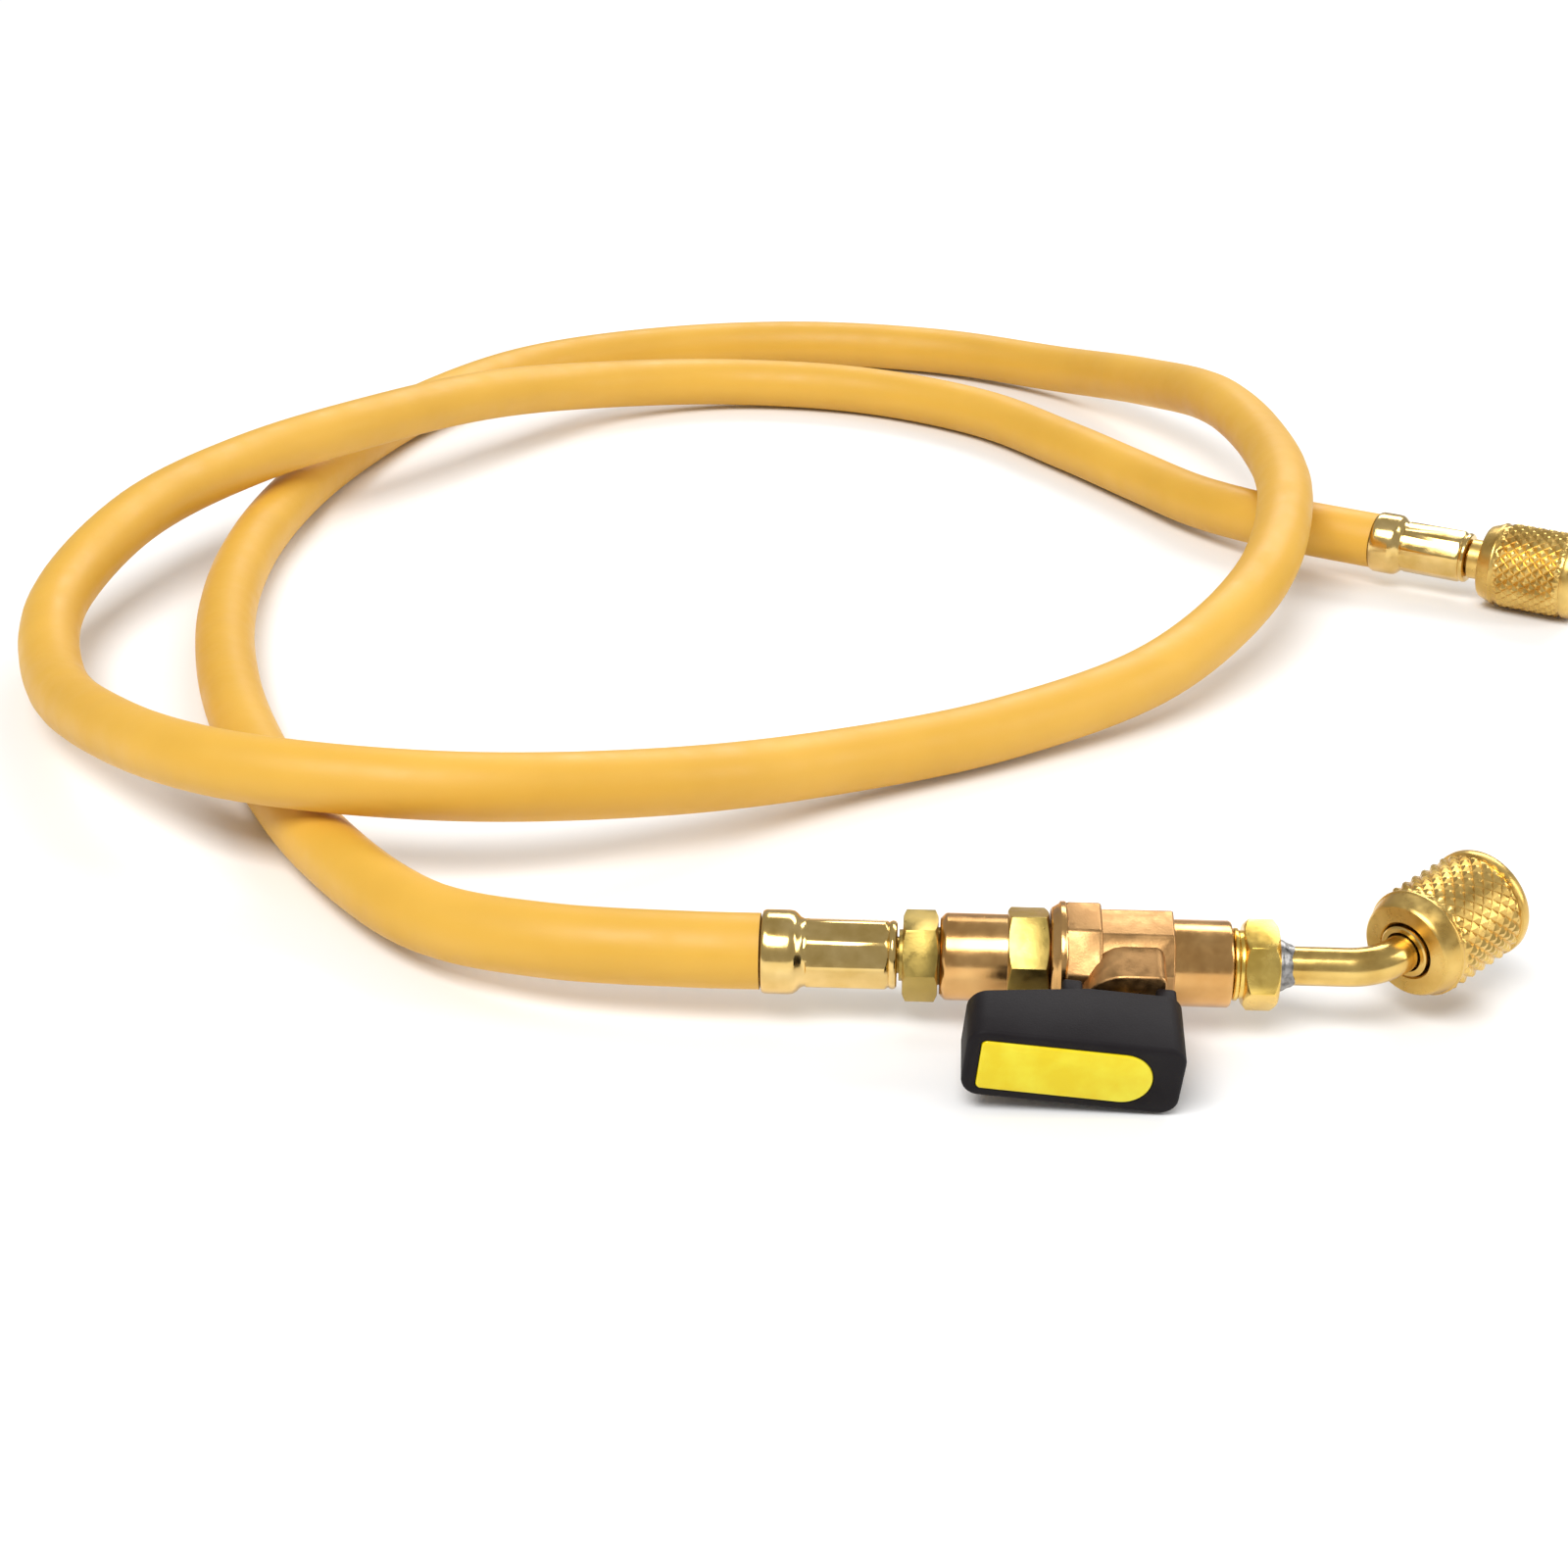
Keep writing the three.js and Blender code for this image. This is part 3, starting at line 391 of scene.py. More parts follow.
def solder_metal():
    material, nodes, links, shader = new_material("grey_solder")
    coords = nodes.new("ShaderNodeTexCoord").outputs["Object"]
    cloud = noise(nodes, links, coords, 700, 5)
    links.new(blended(nodes, links, cloud, 0.35, 0.65, ((0.15, 0.145, 0.14), (0.44, 0.43, 0.42))),
              shader.inputs["Base Color"])
    shader.inputs["Metallic"].default_value = 1
    links.new(ranged(nodes, links, cloud, 0.25, 0.5), shader.inputs["Roughness"])
    bump(nodes, links, noise(nodes, links, coords, 900, 4), shader, 0.5, 0.12 * MM)
    return material


def seat_plastic():
    material, nodes, links, shader = new_material("white_seat_plastic")
    coords = nodes.new("ShaderNodeTexCoord").outputs["Object"]
    cloud = noise(nodes, links, coords, 300, 3)
    links.new(blended(nodes, links, cloud, 0.3, 0.7, ((0.74, 0.73, 0.68), (0.8, 0.79, 0.76))),
              shader.inputs["Base Color"])
    shader.inputs["Roughness"].default_value = 0.45
    return material


def ball_plating():
    material, nodes, links, shader = new_material("plated_ball")
    coords = nodes.new("ShaderNodeTexCoord").outputs["Object"]
    links.new(ranged(nodes, links, noise(nodes, links, coords, 500, 3), 0.06, 0.14),
              shader.inputs["Roughness"])
    shader.inputs["Base Color"].default_value = (0.7, 0.7, 0.7, 1)
    shader.inputs["Metallic"].default_value = 1
    return material


VALVE_ALONG = tuple(VALVE.to_3x3() @ Vector((1, 0, 0)))
COUPLING_ALONG = tuple(COUPLING.to_3x3() @ Vector((1, 0, 0)))
SWIVEL_ALONG = tuple(SWIVEL.to_3x3() @ Vector((1, 0, 0)))
GOLD_DARK = (0.58, 0.36, 0.09)
GOLD_LIGHT = (0.78, 0.54, 0.17)

FINISH = {
    "hose": hose_rubber(),
    "ferrule": brass("crimped_brass", (0.66, 0.44, 0.13), (0.84, 0.61, 0.25), 0.15, None, 0.12),
    "hexagon": brass("drawn_brass", (0.36, 0.25, 0.06), (0.50, 0.36, 0.10), 0.34, None, 0.5),
    "cap": brass("turned_brass", (0.60, 0.32, 0.105), (0.76, 0.45, 0.17), 0.19, VALVE_ALONG, 0.3),
    "body": brass("forged_brass", (0.40, 0.215, 0.08), (0.54, 0.31, 0.125), 0.38, None, 0.8),
    "adapter": brass("adapter_brass", (0.76, 0.50, 0.10), (0.88, 0.63, 0.17), 0.22, None, 0.1),
    "tube": brass("tube_brass", GOLD_DARK, GOLD_LIGHT, 0.2, None, 0.1),
    "swivel": brass("swivel_nut_brass", GOLD_DARK, GOLD_LIGHT, 0.3, SWIVEL_ALONG, 0.15),
    "coupling": brass("coupling_nut_brass", GOLD_DARK, GOLD_LIGHT, 0.3, COUPLING_ALONG, 0.15),
    "lever": lever_plastic(),
    "insert": insert_plastic(),
    "seal": seal_rubber(),
    "solder": solder_metal(),
    "seat": seat_plastic(),
    "ball": ball_plating(),
}


# Hose

def smooth_route(points, steps=24):
    """The centripetal spline through the route's points, as the model's hose follows it."""
    ends = [points[0] * 2 - points[1], *points, points[-1] * 2 - points[-2]]
    line = []
    for a, b, c, d in zip(ends, ends[1:], ends[2:], ends[3:]):
        before = (b - a).length ** 0.5
        here = (c - b).length ** 0.5
        after = (d - c).length ** 0.5
        start = ((b - a) / before - (c - a) / (before + here) + (c - b) / here) * here
        finish = ((c - b) / here - (d - b) / (here + after) + (d - c) / after) * here
        square = (c - b) * 3 - start * 2 - finish
        cube = (b - c) * 2 + start + finish
        line.extend(b + start * t + square * t ** 2 + cube * t ** 3
                    for t in (step / steps for step in range(steps)))
    line.append(points[-1].copy())
    return line


def make_hose():
    valve_way = -(VALVE.to_3x3() @ Vector((1, 0, 0)))
    valve_mouth = VALVE @ (Vector((FERRULE_MOUTH, 0, 0)) * MM)
    coupling_way = -(COUPLING.to_3x3() @ Vector((1, 0, 0)))
    coupling_mouth = COUPLING @ (Vector((COUPLING_FERRULE_MOUTH, 0, 0)) * MM)
    points = [
        valve_mouth + valve_way * GAP,
        valve_mouth + valve_way * HOSE_STUB,
        *[Vector(point) * MM for point in HOSE_ROUTE],
        coupling_mouth + coupling_way * HOSE_STUB,
        coupling_mouth + coupling_way * GAP,
    ]
    line = smooth_route(points, 10)
    curve = bpy.data.curves.new("hose_tube", "CURVE")
    curve.dimensions = "3D"
    curve.bevel_depth = HOSE_DIAMETER / 2
    curve.bevel_resolution = 10
    curve.use_fill_caps = True
    spline = curve.splines.new("POLY")
    spline.points.add(len(line) - 1)
    for point, place in zip(spline.points, line):
        point.co = (*place, 1)
    spline.use_smooth = True
    curve.materials.append(FINISH["hose"])
    hose = bpy.data.objects.new("hose_tube", curve)
    bpy.context.scene.collection.objects.link(hose)
    shown_as(hose, "hose")
    return hose


make_camera()
make_hose()



# Crimped ferrule, from its mouth at X = 0

FERRULE_BELL_END = 5.7
FERRULE_RADIUS = 6.9
CRIMP_FLATS = 11.0
CRIMP_SIDES = 8


def make_ferrule(name, node, place, with_roll):
    """The bell over the hose, the waist, the crimp with its long flats and the lip at its end."""
    bell = turned([
        (0.25, 5.9), (0, 6.25), (0.15, 6.7), (0.6, 6.88), (1.2, FERRULE_RADIUS), (4.4, FERRULE_RADIUS),
        (5.2, 6.78), (5.8, 6.4), (6.3, 5.85), (6.9, 5.55), (7.4, 5.62), (8.0, 5.45), (8.0, 3.3),
        (1.0, 3.3), (1.0, 5.9), (0.25, 5.9),
    ])
    crimp = flat_sided(CRIMP_SIDES, CRIMP_FLATS, 7.2, 20.9, 10 + with_roll)
    long_edges = [e for e in crimp.edges if abs((e.verts[1].co - e.verts[0].co).x) > 5]
    bmesh.ops.bevel(crimp, geom=long_edges, offset=0.55, affect="EDGES", segments=3, profile=0.5,
                    material=-1)
    end_shape = turned([(6.6, 0), (6.6, 5.0), (7.5, 5.9), (19.9, 5.9), (21.1, 5.0), (21.1, 0)], 64)
    crimp = joined(crimp, [("INTERSECT", end_shape)])
    lip = turned([(20.4, 0), (20.4, 5.1), (20.9, 5.5), (21.3, 5.62), (21.75, 5.5), (22.0, 5.2),
                  (22.0, 0)])
    bm = joined(bell, [("UNION", crimp), ("UNION", lip)])
    bevel_sharp(bm, 0.08, 1, 30)
    return shown_as(finished(name, bm, place, FINISH["ferrule"], 28), node)


# Hexagons and turned fittings of the valve

def hexagon(across_flats, start, end, roll, crown=0.7):
    """A hexagon whose corners are rounded off by a cone at both ends."""
    flat = across_flats / 2
    corner = flat / math.cos(math.pi / 6)
    cone = turned([(start, 0), (start, flat - 0.1), (start + crown, corner + 0.05),
                   (end - crown, corner + 0.05), (end, flat - 0.1), (end, 0)], 96)
    return joined(flat_sided(6, across_flats, start, end, roll), [("INTERSECT", cone)])


def make_hose_stem():
    bm = joined(hexagon(13.0, -35.1, STEM_HEX_END, 41, 0.55), [
        ("UNION", turned([(-38, 0), (-38, 3.0), (-35.7, 3.0), (-35.7, 4.2), (-33, 4.2), (-33, 0)], 64)),
        ("UNION", turned([(-31, 0), (-31, 4.7), (-22.5, 4.7), (-22.5, 0)], 64)),
        ("DIFFERENCE", turned([(-39, 0), (-39, 1.8), (-20, 1.8), (-20, 0)], 32)),
    ])
    bevel_sharp(bm, 0.14, 2, 25)
    return shown_as(finished("hose_stem_hexagon", bm, VALVE, FINISH["hexagon"], 28),
                    "hose_stem")


def make_end_cap():
    sleeve = turned([
        (CAP_START, 0), (CAP_START, 6.2), (CAP_START + 0.25, 6.45), (CAP_START + 0.8, 7.0),
        (CAP_START + 1.1, 7.1), (CAP_HEX_START - 0.1, 7.1), (CAP_HEX_START + 1.2, 7.1),
        (CAP_HEX_START + 1.2, 0),
    ])
    socket_end = CAP_START + 7.8
    bm = joined(hexagon(15.3, CAP_HEX_START, CAP_HEX_END, 57, 0.6), [
        ("UNION", sleeve),
        ("UNION", turned([(-13, 0), (-13, 5.8), (-7.1, 5.8), (-7.1, 0)], 64)),
        ("DIFFERENCE", turned([(-30, 0), (-30, 5.0), (socket_end, 5.0), (socket_end, 2.8), (-6, 2.8),
                               (-6, 0)], 64)),
    ])
    bevel_sharp(bm, 0.14, 2, 25)
    piece = finished("valve_cap", bm, VALVE, FINISH["cap"], 28)
    piece.data.materials.append(FINISH["hexagon"])
    back = VALVE.inverted()
    for face in piece.data.polygons:
        centre = (back @ face.center) / MM
        if centre.x > CAP_HEX_START - 0.02 and math.hypot(centre.y, centre.z) > 7.15:
            face.material_index = 1
    return shown_as(piece, "valve_end_cap")


# Forged valve body with its stem boss

BOSS_RADIUS = 6.65
BOSS_REACH = 12.3


def boss_prism(radius, corner, near, far, steps=20):
    """The stem boss: round, but square at its upper right, raised along -Y."""
    bm = bmesh.new()
    outline = [(0.0, radius), (radius - corner, radius)]
    outline += [(radius - corner + corner * math.sin(a), radius - corner + corner * math.cos(a))
                for a in (math.pi / 2 * k / 5 for k in range(1, 6))]
    outline += [(radius * math.cos(a), -radius * math.sin(a))
                for a in (1.5 * math.pi * k / steps for k in range(steps))]
    face = bm.faces.new([bm.verts.new((x, -near, z)) for x, z in outline])
    grown = bmesh.ops.extrude_face_region(bm, geom=[face])["geom"]
    moved = [g for g in grown if isinstance(g, bmesh.types.BMVert)]
    bmesh.ops.translate(bm, verts=moved, vec=(0, near - far, 0))
    bmesh.ops.recalc_face_normals(bm, faces=bm.faces)
    rim = [e for e in bm.edges if all(abs(v.co.y + far) < 1e-6 for v in e.verts)]
    bmesh.ops.bevel(bm, geom=rim, offset=0.5, affect="EDGES", segments=3, profile=0.5, material=-1)
    return bm


def soft_octagon(across_flats, start, end, softness):
    bm = flat_sided(8, across_flats, start, end, 22.5)
    bmesh.ops.bevel(bm, geom=bm.edges[:], offset=softness, affect="EDGES", segments=3, profile=0.5,
                    material=-1, clamp_overlap=True)
    return bm


def make_valve_body():
    rim = turned([
        (BODY_START, 0), (BODY_START, 8.2), (BODY_START + 0.2, 8.5), (BODY_START + 0.9, 8.9),
        (BODY_START + 1.2, 9.1), (BODY_START + 1.5, 9.5), (RIM_END - 0.3, 9.5), (RIM_END, 9.3),
        (RIM_END + 0.3, 8.6), (RIM_END + 0.3, 0),
    ])
    sleeve = turned([
        (BLOCK_END - 1, 0), (BLOCK_END - 1, 7.05), (BODY_END - 0.5, 7.05), (BODY_END - 0.1, 6.85),
        (BODY_END, 6.6), (BODY_END, 0),
    ])
    spindle_hole = turned([(3, 0), (3, 2.5), (BOSS_REACH + 1, 2.5), (BOSS_REACH + 1, 0)], 48)
    bmesh.ops.transform(spindle_hole, matrix=Matrix.Rotation(-math.pi / 2, 4, "Z"),
                        verts=spindle_hole.verts)
    bm = joined(soft_octagon(16.0, RIM_END - 0.2, BLOCK_END, 0.4), [
        ("UNION", soft_octagon(17.9, RIM_END - 0.3, SHOULDER_END, 0.5)),
        ("UNION", boss_prism(BOSS_RADIUS, 1.5, 2, BOSS_REACH)),
        ("UNION", rim),
        ("UNION", sleeve),
        ("DIFFERENCE", turned([(-12, 0), (-12, 5.95), (6.2, 5.95), (6.2, 2.8), (9.9, 2.8), (9.9, 5.0),
                               (20, 5.0), (20, 0)], 64)),
        ("DIFFERENCE", spindle_hole),
    ])
    bevel_sharp(bm, 0.12, 2, 30)
    piece = finished("valve_casting", bm, VALVE, FINISH["body"], 30)
    piece.data.materials.append(FINISH["cap"])
    back = VALVE.inverted()
    for face in piece.data.polygons:
        centre = (back @ face.center) / MM
        reach = math.hypot(centre.y, centre.z)
        if centre.x > BLOCK_END + 0.05 or (centre.x < RIM_END + 0.05 and reach > 8):
            face.material_index = 1
    return shown_as(piece, "valve_body")


# Tube adapter, solder and bent tube

def make_adapter():
    bar = turned([
        (10.5, 0), (10.5, 4.7), (ADAPTER_RING_START, 4.7), (ADAPTER_RING_START, 5.7),
        (ADAPTER_RING_START + 0.25, 5.9), (ADAPTER_RING_START + 0.75, 5.9),
        (ADAPTER_RING_START + 0.95, 5.55), (ADAPTER_HEX_START + 1.3, 5.55),
        (ADAPTER_HEX_START + 1.3, 0),
    ])
    bm = joined(hexagon(13.0, ADAPTER_HEX_START, ADAPTER_HEX_END, 29, 0.95), [
        ("UNION", bar),
        ("DIFFERENCE", turned([(9, 0), (9, 1.8), (20.2, 1.8), (20.2, 3.475), (27, 3.475), (27, 0)], 64)),
    ])
    bevel_sharp(bm, 0.16, 2, 25)
    return shown_as(finished("adapter_hexagon", bm, VALVE, FINISH["adapter"], 28),
                    "tube_adapter")


def make_solder():
    """A fillet of solder whose edge runs a little unevenly round the tube."""
    bm = turned([(25.5, 3.4), (25.5, 4.15), (25.9, 4.2), (26.3, 4.05), (26.7, 3.8), (27.2, 3.62),
                 (27.6, 3.52), (27.9, 3.44), (25.5, 3.4)], 72)
    for vert in bm.verts:
        angle = math.atan2(vert.co.z, vert.co.y)
        reach = max(vert.co.x - 25.9, 0)
        vert.co.x -= reach * (0.16 + 0.12 * math.sin(angle * 3 + 0.6) + 0.06 * math.sin(angle * 7))
    return shown_as(finished("solder_ring", bm, VALVE, FINISH["solder"], 40), "solder_joint")


def tube_line():
    """The tube's centre line in the valve's axes, rising by TUBE_RISE past its straight."""
    roll = TUBE_RISE - math.asin(-LEVER_WAY.z)
    side = Vector((0, math.cos(roll), math.sin(roll)))
    along = Vector((1, 0, 0))
    points = [along * 20.6, along * 28]
    for step in range(13):
        angle = TUBE_BEND_ANGLE * step / 12
        points.append(along * (TUBE_STRAIGHT_END + TUBE_BEND_RADIUS * math.sin(angle))
                      + side * TUBE_BEND_RADIUS * (1 - math.cos(angle)))
    heading = along * math.cos(TUBE_BEND_ANGLE) + side * math.sin(TUBE_BEND_ANGLE)
    points.append(points[-1] + heading * (TUBE_BEFORE_NUT + 3.3))
    return points, side


def make_tube():
    """The tube: a ring carried along its line by extrusion, outside first and then the bore."""
    points, side = tube_line()
    normal = Vector((1, 0, 0)).cross(side)
    bm = bmesh.new()
    for radius in (3.175, 2.275):
        rings = []
        for before, here, after in zip([points[0], *points], points, [*points[1:], points[-1]]):
            heading = (after - before).normalized()
            frame_x = normal.cross(heading)
            ring = []
            for k in range(40):
                angle = 2 * math.pi * k / 40
                ring.append(bm.verts.new(here + (frame_x * math.cos(angle)
                                                 + normal * math.sin(angle)) * radius))
            rings.append([bm.edges.new((a, b)) for a, b in zip(ring, ring[1:] + ring[:1])])
        for near, far in zip(rings, rings[1:]):
            bmesh.ops.bridge_loops(bm, edges=near + far)
    for first in (True, False):
        open_edges = [e for e in bm.edges if e.is_boundary]
        centre = points[0] if first else points[-1]
        near = [e for e in open_edges if (e.verts[0].co - centre).length < 4]
        bmesh.ops.bridge_loops(bm, edges=near)
    return shown_as(finished("flare_tube", bm, VALVE, FINISH["tube"], 40), "bent_tube")


# Knurled flare nut, from its back face at X = 0

NUT_LENGTH = 21.5
KNURL_START = 3.9
KNURL_END = 19.0
KNURL_ROUND = 24
KNURL_ALONG = 6
KNURL_ROOT = 8.9
KNURL_CREST = 9.45
KNURL_FINENESS = 4


def knurl_height(turns, rows):
    """Height from 0 to 1 of a diamond knurl with rounded crests."""
    first = abs(((turns + rows) % 1) - 0.5) * 2
    second = abs(((turns - rows) % 1) - 0.5) * 2
    return min(first, second, 0.75) / 0.75


def knurled_band():
    """The grip: a band of quads pushed out into domed diamonds, faded at both ends."""
    bm = bmesh.new()
    across = KNURL_ROUND * KNURL_FINENESS * 2
    along = KNURL_ALONG * KNURL_FINENESS * 2
    verts = [bm.verts.new((KNURL_START + (KNURL_END - KNURL_START) * k / along, 0, KNURL_ROOT))
             for k in range(along + 1)]
    edges = [bm.edges.new(pair) for pair in zip(verts, verts[1:])]
    bmesh.ops.spin(bm, geom=verts + edges, cent=(0, 0, 0), axis=(1, 0, 0), angle=2 * math.pi,
                   steps=across, use_merge=True)
    bmesh.ops.remove_doubles(bm, verts=bm.verts, dist=1e-4)
    bmesh.ops.poke(bm, faces=bm.faces)
    for vert in bm.verts:
        share = (vert.co.x - KNURL_START) / (KNURL_END - KNURL_START)
        turns = math.atan2(vert.co.z, vert.co.y) / (2 * math.pi) * KNURL_ROUND
        height = knurl_height(turns, share * KNURL_ALONG)
        fade = min(1, share * KNURL_ALONG * 2, (1 - share) * KNURL_ALONG * 2)
        radius = KNURL_ROOT + (KNURL_CREST - KNURL_ROOT) * height * max(fade, 0)
        grow = radius / math.hypot(vert.co.y, vert.co.z)
        vert.co.y *= grow
        vert.co.z *= grow
    return bm


def make_nut(name, node, place, finish, body):
    bm = knurled_band()
    band_ends = [e for e in bm.edges if e.is_boundary]
    shell = [
        (KNURL_START, KNURL_ROOT), (3.55, 9.15), (3.3, 9.28), (3.05, 9.25), (2.9, 9.02), (2.5, 8.9),
        (0.6, 8.2), (0.25, 8.02), (0, 7.75), (0, 7.0), (0, 5.05), (0.25, 4.8), (3.4, 4.8),
        (3.4, 5.6), (20.7, 5.6), (21.2, 5.95), (21.5, 6.1), (21.5, 8.35), (21.35, 8.75), (21.0, 9.1),
        (20.4, 9.35), (19.6, 9.4), (19.2, 9.3), (KNURL_END, KNURL_ROOT),
    ]
    across = KNURL_ROUND * KNURL_FINENESS * 2
    verts = [bm.verts.new((x, 0, r)) for x, r in shell]
    edges = [bm.edges.new(pair) for pair in zip(verts, verts[1:])]
    bmesh.ops.spin(bm, geom=verts + edges, cent=(0, 0, 0), axis=(1, 0, 0), angle=2 * math.pi,
                   steps=across, use_merge=True)
    bmesh.ops.remove_doubles(bm, verts=bm.verts, dist=2e-3)
    return shown_as(finished(name, bm, place, finish, 38), node, body)


THREAD_PITCH = 1.27
THREAD_START = 9.0
THREAD_TURNS = 9


def make_thread(name, place, finish, body):
    """The nut's inner thread: a pointed rib spun along a helix on the wall of its bore."""
    bm = bmesh.new()
    root = 5.62
    crest = 5.02
    section = [(-0.52, root), (-0.08, crest), (0.08, crest), (0.52, root)]
    verts = [bm.verts.new((THREAD_START + x, 0, r)) for x, r in section]
    edges = [bm.edges.new((a, b)) for a, b in zip(verts, verts[1:] + verts[:1])]
    steps = 40 * THREAD_TURNS
    first = bmesh.ops.edgeloop_fill(bm, edges=edges)["faces"]
    bmesh.ops.spin(bm, geom=first[:] + edges + verts, cent=(0, 0, 0), axis=(1, 0, 0),
                   dvec=(THREAD_PITCH * THREAD_TURNS / steps, 0, 0),
                   angle=2 * math.pi * THREAD_TURNS, steps=steps)
    bmesh.ops.holes_fill(bm, edges=[e for e in bm.edges if e.is_boundary], sides=8)
    piece = finished(name, bm, place, finish, 30)
    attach(piece, body)
    return piece


def make_nipple():
    bm = turned([
        (-0.6, 3.475), (-0.6, 4.2), (-0.4, 4.45), (3.7, 4.45), (3.7, 5.2), (3.85, 5.3), (6.15, 5.3),
        (6.3, 5.15), (6.3, 2.2), (3.7, 2.2), (3.7, 3.475), (-0.6, 3.475),
    ], 72)
    return shown_as(finished("tube_collar", bm, SWIVEL, FINISH["tube"], 30),
                    "flare_nipple")


def make_seal(name, node, place):
    bm = turned([(6.6, 2.8), (6.6, 5.2), (6.7, 5.3), (8.05, 5.3), (8.2, 5.15), (8.2, 3.0), (8.05, 2.8),
                 (6.6, 2.8)], 72)
    return shown_as(finished(name, bm, place, FINISH["seal"], 30), node)


def make_depressor():
    """The flat bar across the tube's end and the pin that opens the port's core."""
    bm = bmesh.new()
    bmesh.ops.create_cube(bm, size=1)
    bmesh.ops.transform(bm, matrix=Matrix.Translation((4.8, 0, 0))
                        @ Matrix.Diagonal((2.9, 3.7, 1.3, 1)), verts=bm.verts)
    pin = turned([(4.4, 0), (4.4, 0.62), (10.5, 0.62), (10.75, 0.4), (10.75, 0)], 32)
    bm = joined(bm, [("UNION", pin)])
    bevel_sharp(bm, 0.1, 2, 30)
    return shown_as(finished("depressor_pin", bm, SWIVEL, FINISH["tube"], 30),
                    "core_depressor")


def make_coupling_stem():
    bm = turned([
        (-17.5, 1.8), (-17.5, 3.0), (-3.5, 3.0), (-3.5, 4.1), (-3.3, 4.45), (3.7, 4.45), (3.7, 5.2),
        (3.85, 5.3), (6.15, 5.3), (6.3, 5.15), (6.3, 2.2), (2.2, 2.2), (2.0, 1.8), (-17.5, 1.8),
    ], 72)
    return shown_as(finished("coupling_stem_shell", bm, COUPLING, FINISH["coupling"],
                             30), "coupling_stem")


# Lever, its insert, the spindle and the ball

LEVER_LEFT = -25.3
LEVER_RIGHT = 8.5
LEVER_HALF = 6.5
LEVER_FRONT = 29.0
LEVER_BACK = 16.0
LEVER_TIP_BACK = 19.5
LEVER_KINK = -6.5
INSERT_LEFT = -23.0
INSERT_RIGHT = 3.8
INSERT_HALF = 4.7
INSERT_BACK = 27.8
INSERT_FRONT = 29.25


def slab(left, right, half, left_radius, right_radius, near, far, steps=8):
    """A rounded rectangle in X and Z, raised along -Y between two distances."""
    corners = [
        (right - right_radius, -half + right_radius, right_radius, -math.pi / 2),
        (right - right_radius, half - right_radius, right_radius, 0),
        (left + left_radius, half - left_radius, left_radius, math.pi / 2),
        (left + left_radius, -half + left_radius, left_radius, math.pi),
    ]
    bm = bmesh.new()
    verts = []
    for x, z, radius, start in corners:
        for k in range(steps + 1):
            angle = start + math.pi / 2 * k / steps
            verts.append(bm.verts.new((x + radius * math.cos(angle), -near,
                                       z + radius * math.sin(angle))))
    bmesh.ops.remove_doubles(bm, verts=bm.verts, dist=1e-4)
    loop = [v for v in verts if v.is_valid]
    face = bm.faces.new(loop)
    grown = bmesh.ops.extrude_face_region(bm, geom=[face])["geom"]
    moved = [g for g in grown if isinstance(g, bmesh.types.BMVert)]
    bmesh.ops.translate(bm, verts=moved, vec=(0, near - far, 0))
    bmesh.ops.recalc_face_normals(bm, faces=bm.faces)
    return bm


def round_front(bm, front, width, segments=3):
    edges = [e for e in bm.edges if all(abs(v.co.y + front) < 1e-4 for v in e.verts)]
    bmesh.ops.bevel(bm, geom=edges, offset=width, affect="EDGES", segments=segments, profile=0.5,
                    material=-1)


def make_lever():
    body = slab(LEVER_LEFT, LEVER_RIGHT, LEVER_HALF, 3.0, 3.0, LEVER_BACK, LEVER_FRONT)
    bmesh.ops.bisect_plane(body, geom=body.verts[:] + body.edges[:] + body.faces[:],
                           plane_co=(LEVER_KINK, 0, 0), plane_no=(1, 0, 0))
    for vert in body.verts:
        if abs(vert.co.y + LEVER_BACK) < 1e-4 and vert.co.x < LEVER_KINK:
            share = (LEVER_KINK - vert.co.x) / (LEVER_KINK - LEVER_LEFT)
            vert.co.y -= (LEVER_TIP_BACK - LEVER_BACK) * share
    round_front(body, LEVER_FRONT, 0.7, 3)
    lugs = []
    for centre in (6.0, -8.8):
        lug = bmesh.new()
        bmesh.ops.create_cube(lug, size=1)
        bmesh.ops.transform(lug, matrix=Matrix.Translation((centre, -14.8, 3.9))
                            @ Matrix.Diagonal((3.2, 4.4, 3.2, 1)), verts=lug.verts)
        bmesh.ops.bevel(lug, geom=lug.edges[:], offset=0.6, affect="EDGES", segments=3, profile=0.5,
                        material=-1)
        lugs.append(("UNION", lug))
    recess = slab(INSERT_LEFT - 0.15, INSERT_RIGHT + 0.15, INSERT_HALF + 0.15, 1.0, INSERT_HALF + 0.15,
                  INSERT_BACK - 0.2, LEVER_FRONT + 1, 10)
    socket = turned([(0, 0), (0, 2.5), (7.2, 2.5), (7.2, 0)], 48)
    bmesh.ops.transform(socket, matrix=Matrix.Translation((0, -LEVER_BACK + 0.2, 0))
                        @ Matrix.Rotation(-math.pi / 2, 4, "Z"), verts=socket.verts)
    bm = joined(body, [*lugs, ("DIFFERENCE", recess), ("DIFFERENCE", socket)])
    bevel_sharp(bm, 0.18, 2, 35)
    return shown_as(finished("lever_grip", bm, HANDLE, FINISH["lever"], 35), "lever",
                    LEVER_BODY)


def make_insert():
    bm = slab(INSERT_LEFT, INSERT_RIGHT, INSERT_HALF, 0.9, INSERT_HALF - 0.01, INSERT_BACK,
              INSERT_FRONT, 12)
    round_front(bm, INSERT_FRONT, 0.35, 3)
    return shown_as(finished("lever_plate", bm, HANDLE, FINISH["insert"], 35),
                    "lever_insert", LEVER_BODY)


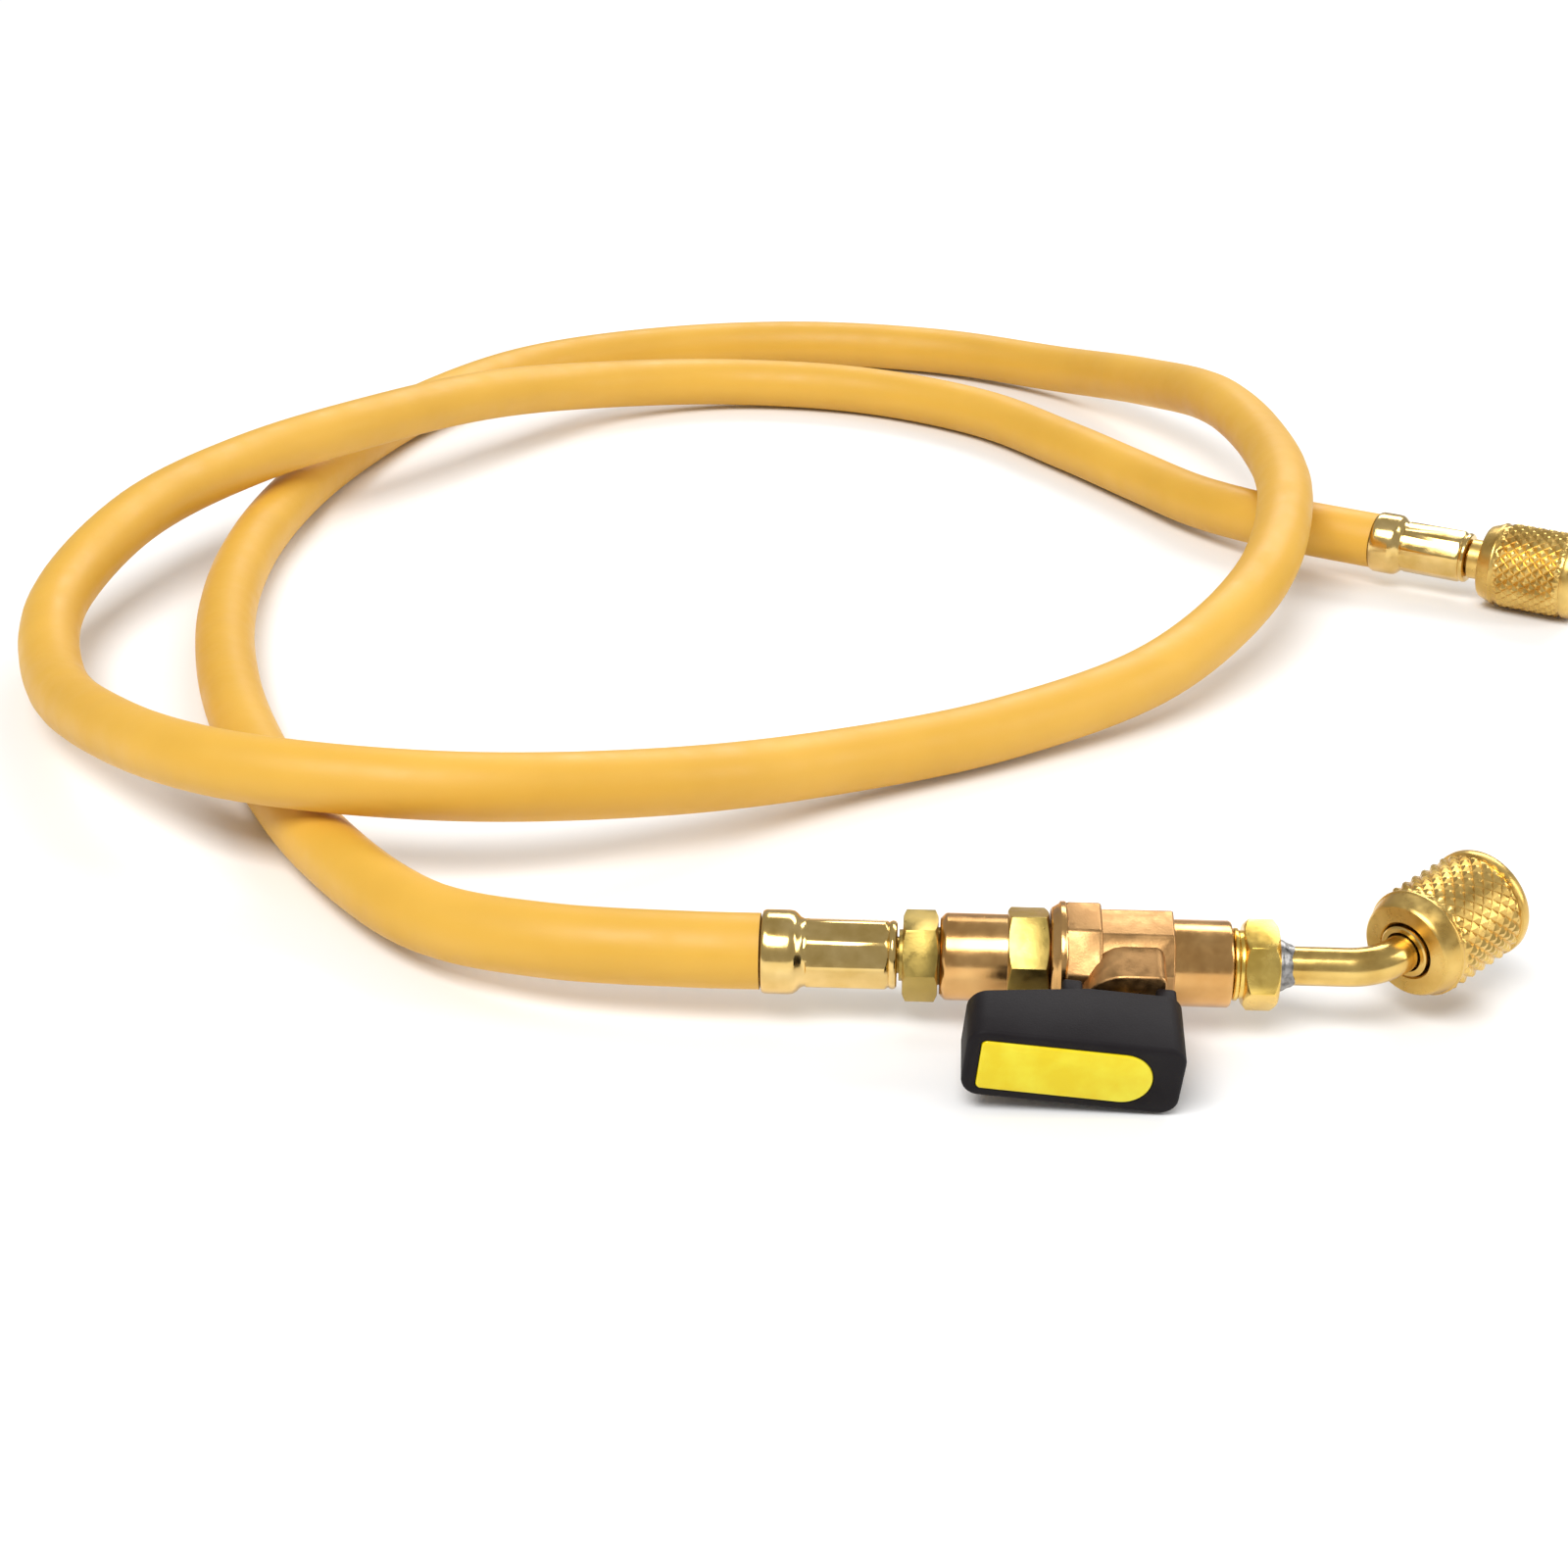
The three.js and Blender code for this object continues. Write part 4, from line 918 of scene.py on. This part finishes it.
def make_spindle():
    rod = turned([(5.5, 0), (5.5, 2.2), (22.3, 2.2), (22.7, 1.8), (22.7, 0)], 48)
    bmesh.ops.transform(rod, matrix=Matrix.Rotation(-math.pi / 2, 4, "Z"), verts=rod.verts)
    tang = bmesh.new()
    bmesh.ops.create_cube(tang, size=1)
    bmesh.ops.transform(tang, matrix=Matrix.Translation((0, -5.0, 0))
                        @ Matrix.Diagonal((3.5, 1.8, 1.4, 1)), verts=tang.verts)
    bm = joined(rod, [("UNION", tang)])
    bevel_sharp(bm, 0.1, 2, 30)
    return shown_as(finished("spindle_rod", bm, HANDLE, FINISH["adapter"], 30),
                    "spindle", LEVER_BODY)


def finish_hidden_nodes():
    """The ball and its seats stay as the model has them, with their own finishes."""
    for node, finish in (("ball", "ball"), ("ball_seat_inlet", "seat"), ("ball_seat_outlet", "seat")):
        for slot in frame["nodes"][node].material_slots:
            slot.material = FINISH[finish]


# Floor and light

def make_floor():
    bm = bmesh.new()
    bmesh.ops.create_grid(bm, x_segments=1, y_segments=1, size=6)
    mesh = bpy.data.meshes.new("floor")
    bm.to_mesh(mesh)
    bm.free()
    material, nodes, links, shader = new_material("pale_floor")
    shader.inputs["Base Color"].default_value = (0.88, 0.88, 0.88, 1)
    shader.inputs["Roughness"].default_value = 0.9
    mesh.materials.append(material)
    floor = bpy.data.objects.new("floor", mesh)
    floor.location = (0, 0, -0.0002)
    bpy.context.scene.collection.objects.link(floor)


def make_world():
    world = bpy.data.worlds.new("studio")
    bpy.context.scene.world = world
    world.use_nodes = True
    background = world.node_tree.nodes["Background"]
    background.inputs["Color"].default_value = (1, 1, 1, 1)
    background.inputs["Strength"].default_value = 0.42


def make_light(name, place, size, power, target=(0, 0, 0)):
    data = bpy.data.lights.new(name, "AREA")
    data.shape = "RECTANGLE"
    data.size, data.size_y = size
    data.energy = power
    light = bpy.data.objects.new(name, data)
    light.location = place
    aim = Vector(target) - Vector(place)
    light.rotation_euler = aim.to_track_quat("-Z", "Y").to_euler()
    bpy.context.scene.collection.objects.link(light)


make_ferrule("valve_ferrule_shell", "valve_ferrule",
             VALVE @ Matrix.Translation(Vector((FERRULE_MOUTH, 0, 0)) * MM), 0)
make_ferrule("coupling_ferrule_shell", "coupling_ferrule",
             COUPLING @ Matrix.Translation(Vector((COUPLING_FERRULE_MOUTH, 0, 0)) * MM), 0)
make_hose_stem()
make_end_cap()
make_valve_body()
make_adapter()
make_solder()
make_tube()
make_nut("swivel_nut_shell", "swivel_nut", SWIVEL, FINISH["swivel"], SWIVEL_JOINT["child"])
make_thread("swivel_nut_thread", SWIVEL, FINISH["swivel"], SWIVEL_JOINT["child"])
make_nut("coupling_nut_shell", "coupling_nut", COUPLING, FINISH["coupling"], COUPLING_JOINT["child"])
make_thread("coupling_nut_thread", COUPLING, FINISH["coupling"], COUPLING_JOINT["child"])
make_nipple()
make_seal("swivel_seal_ring", "swivel_nut_seal", SWIVEL)
make_seal("coupling_seal_ring", "coupling_seal", COUPLING)
make_depressor()
make_coupling_stem()
make_lever()
make_insert()
make_spindle()
finish_hidden_nodes()

make_floor()
make_world()
make_light("key", (-0.5, -0.9, 1.5), (1.3, 0.8), 29)
make_light("back", (0.5, 1.4, 1.2), (1.6, 0.6), 18)
make_light("side", (1.4, -0.3, 0.7), (0.4, 1.0), 7)
bpy.context.scene.view_settings.view_transform = "Standard"
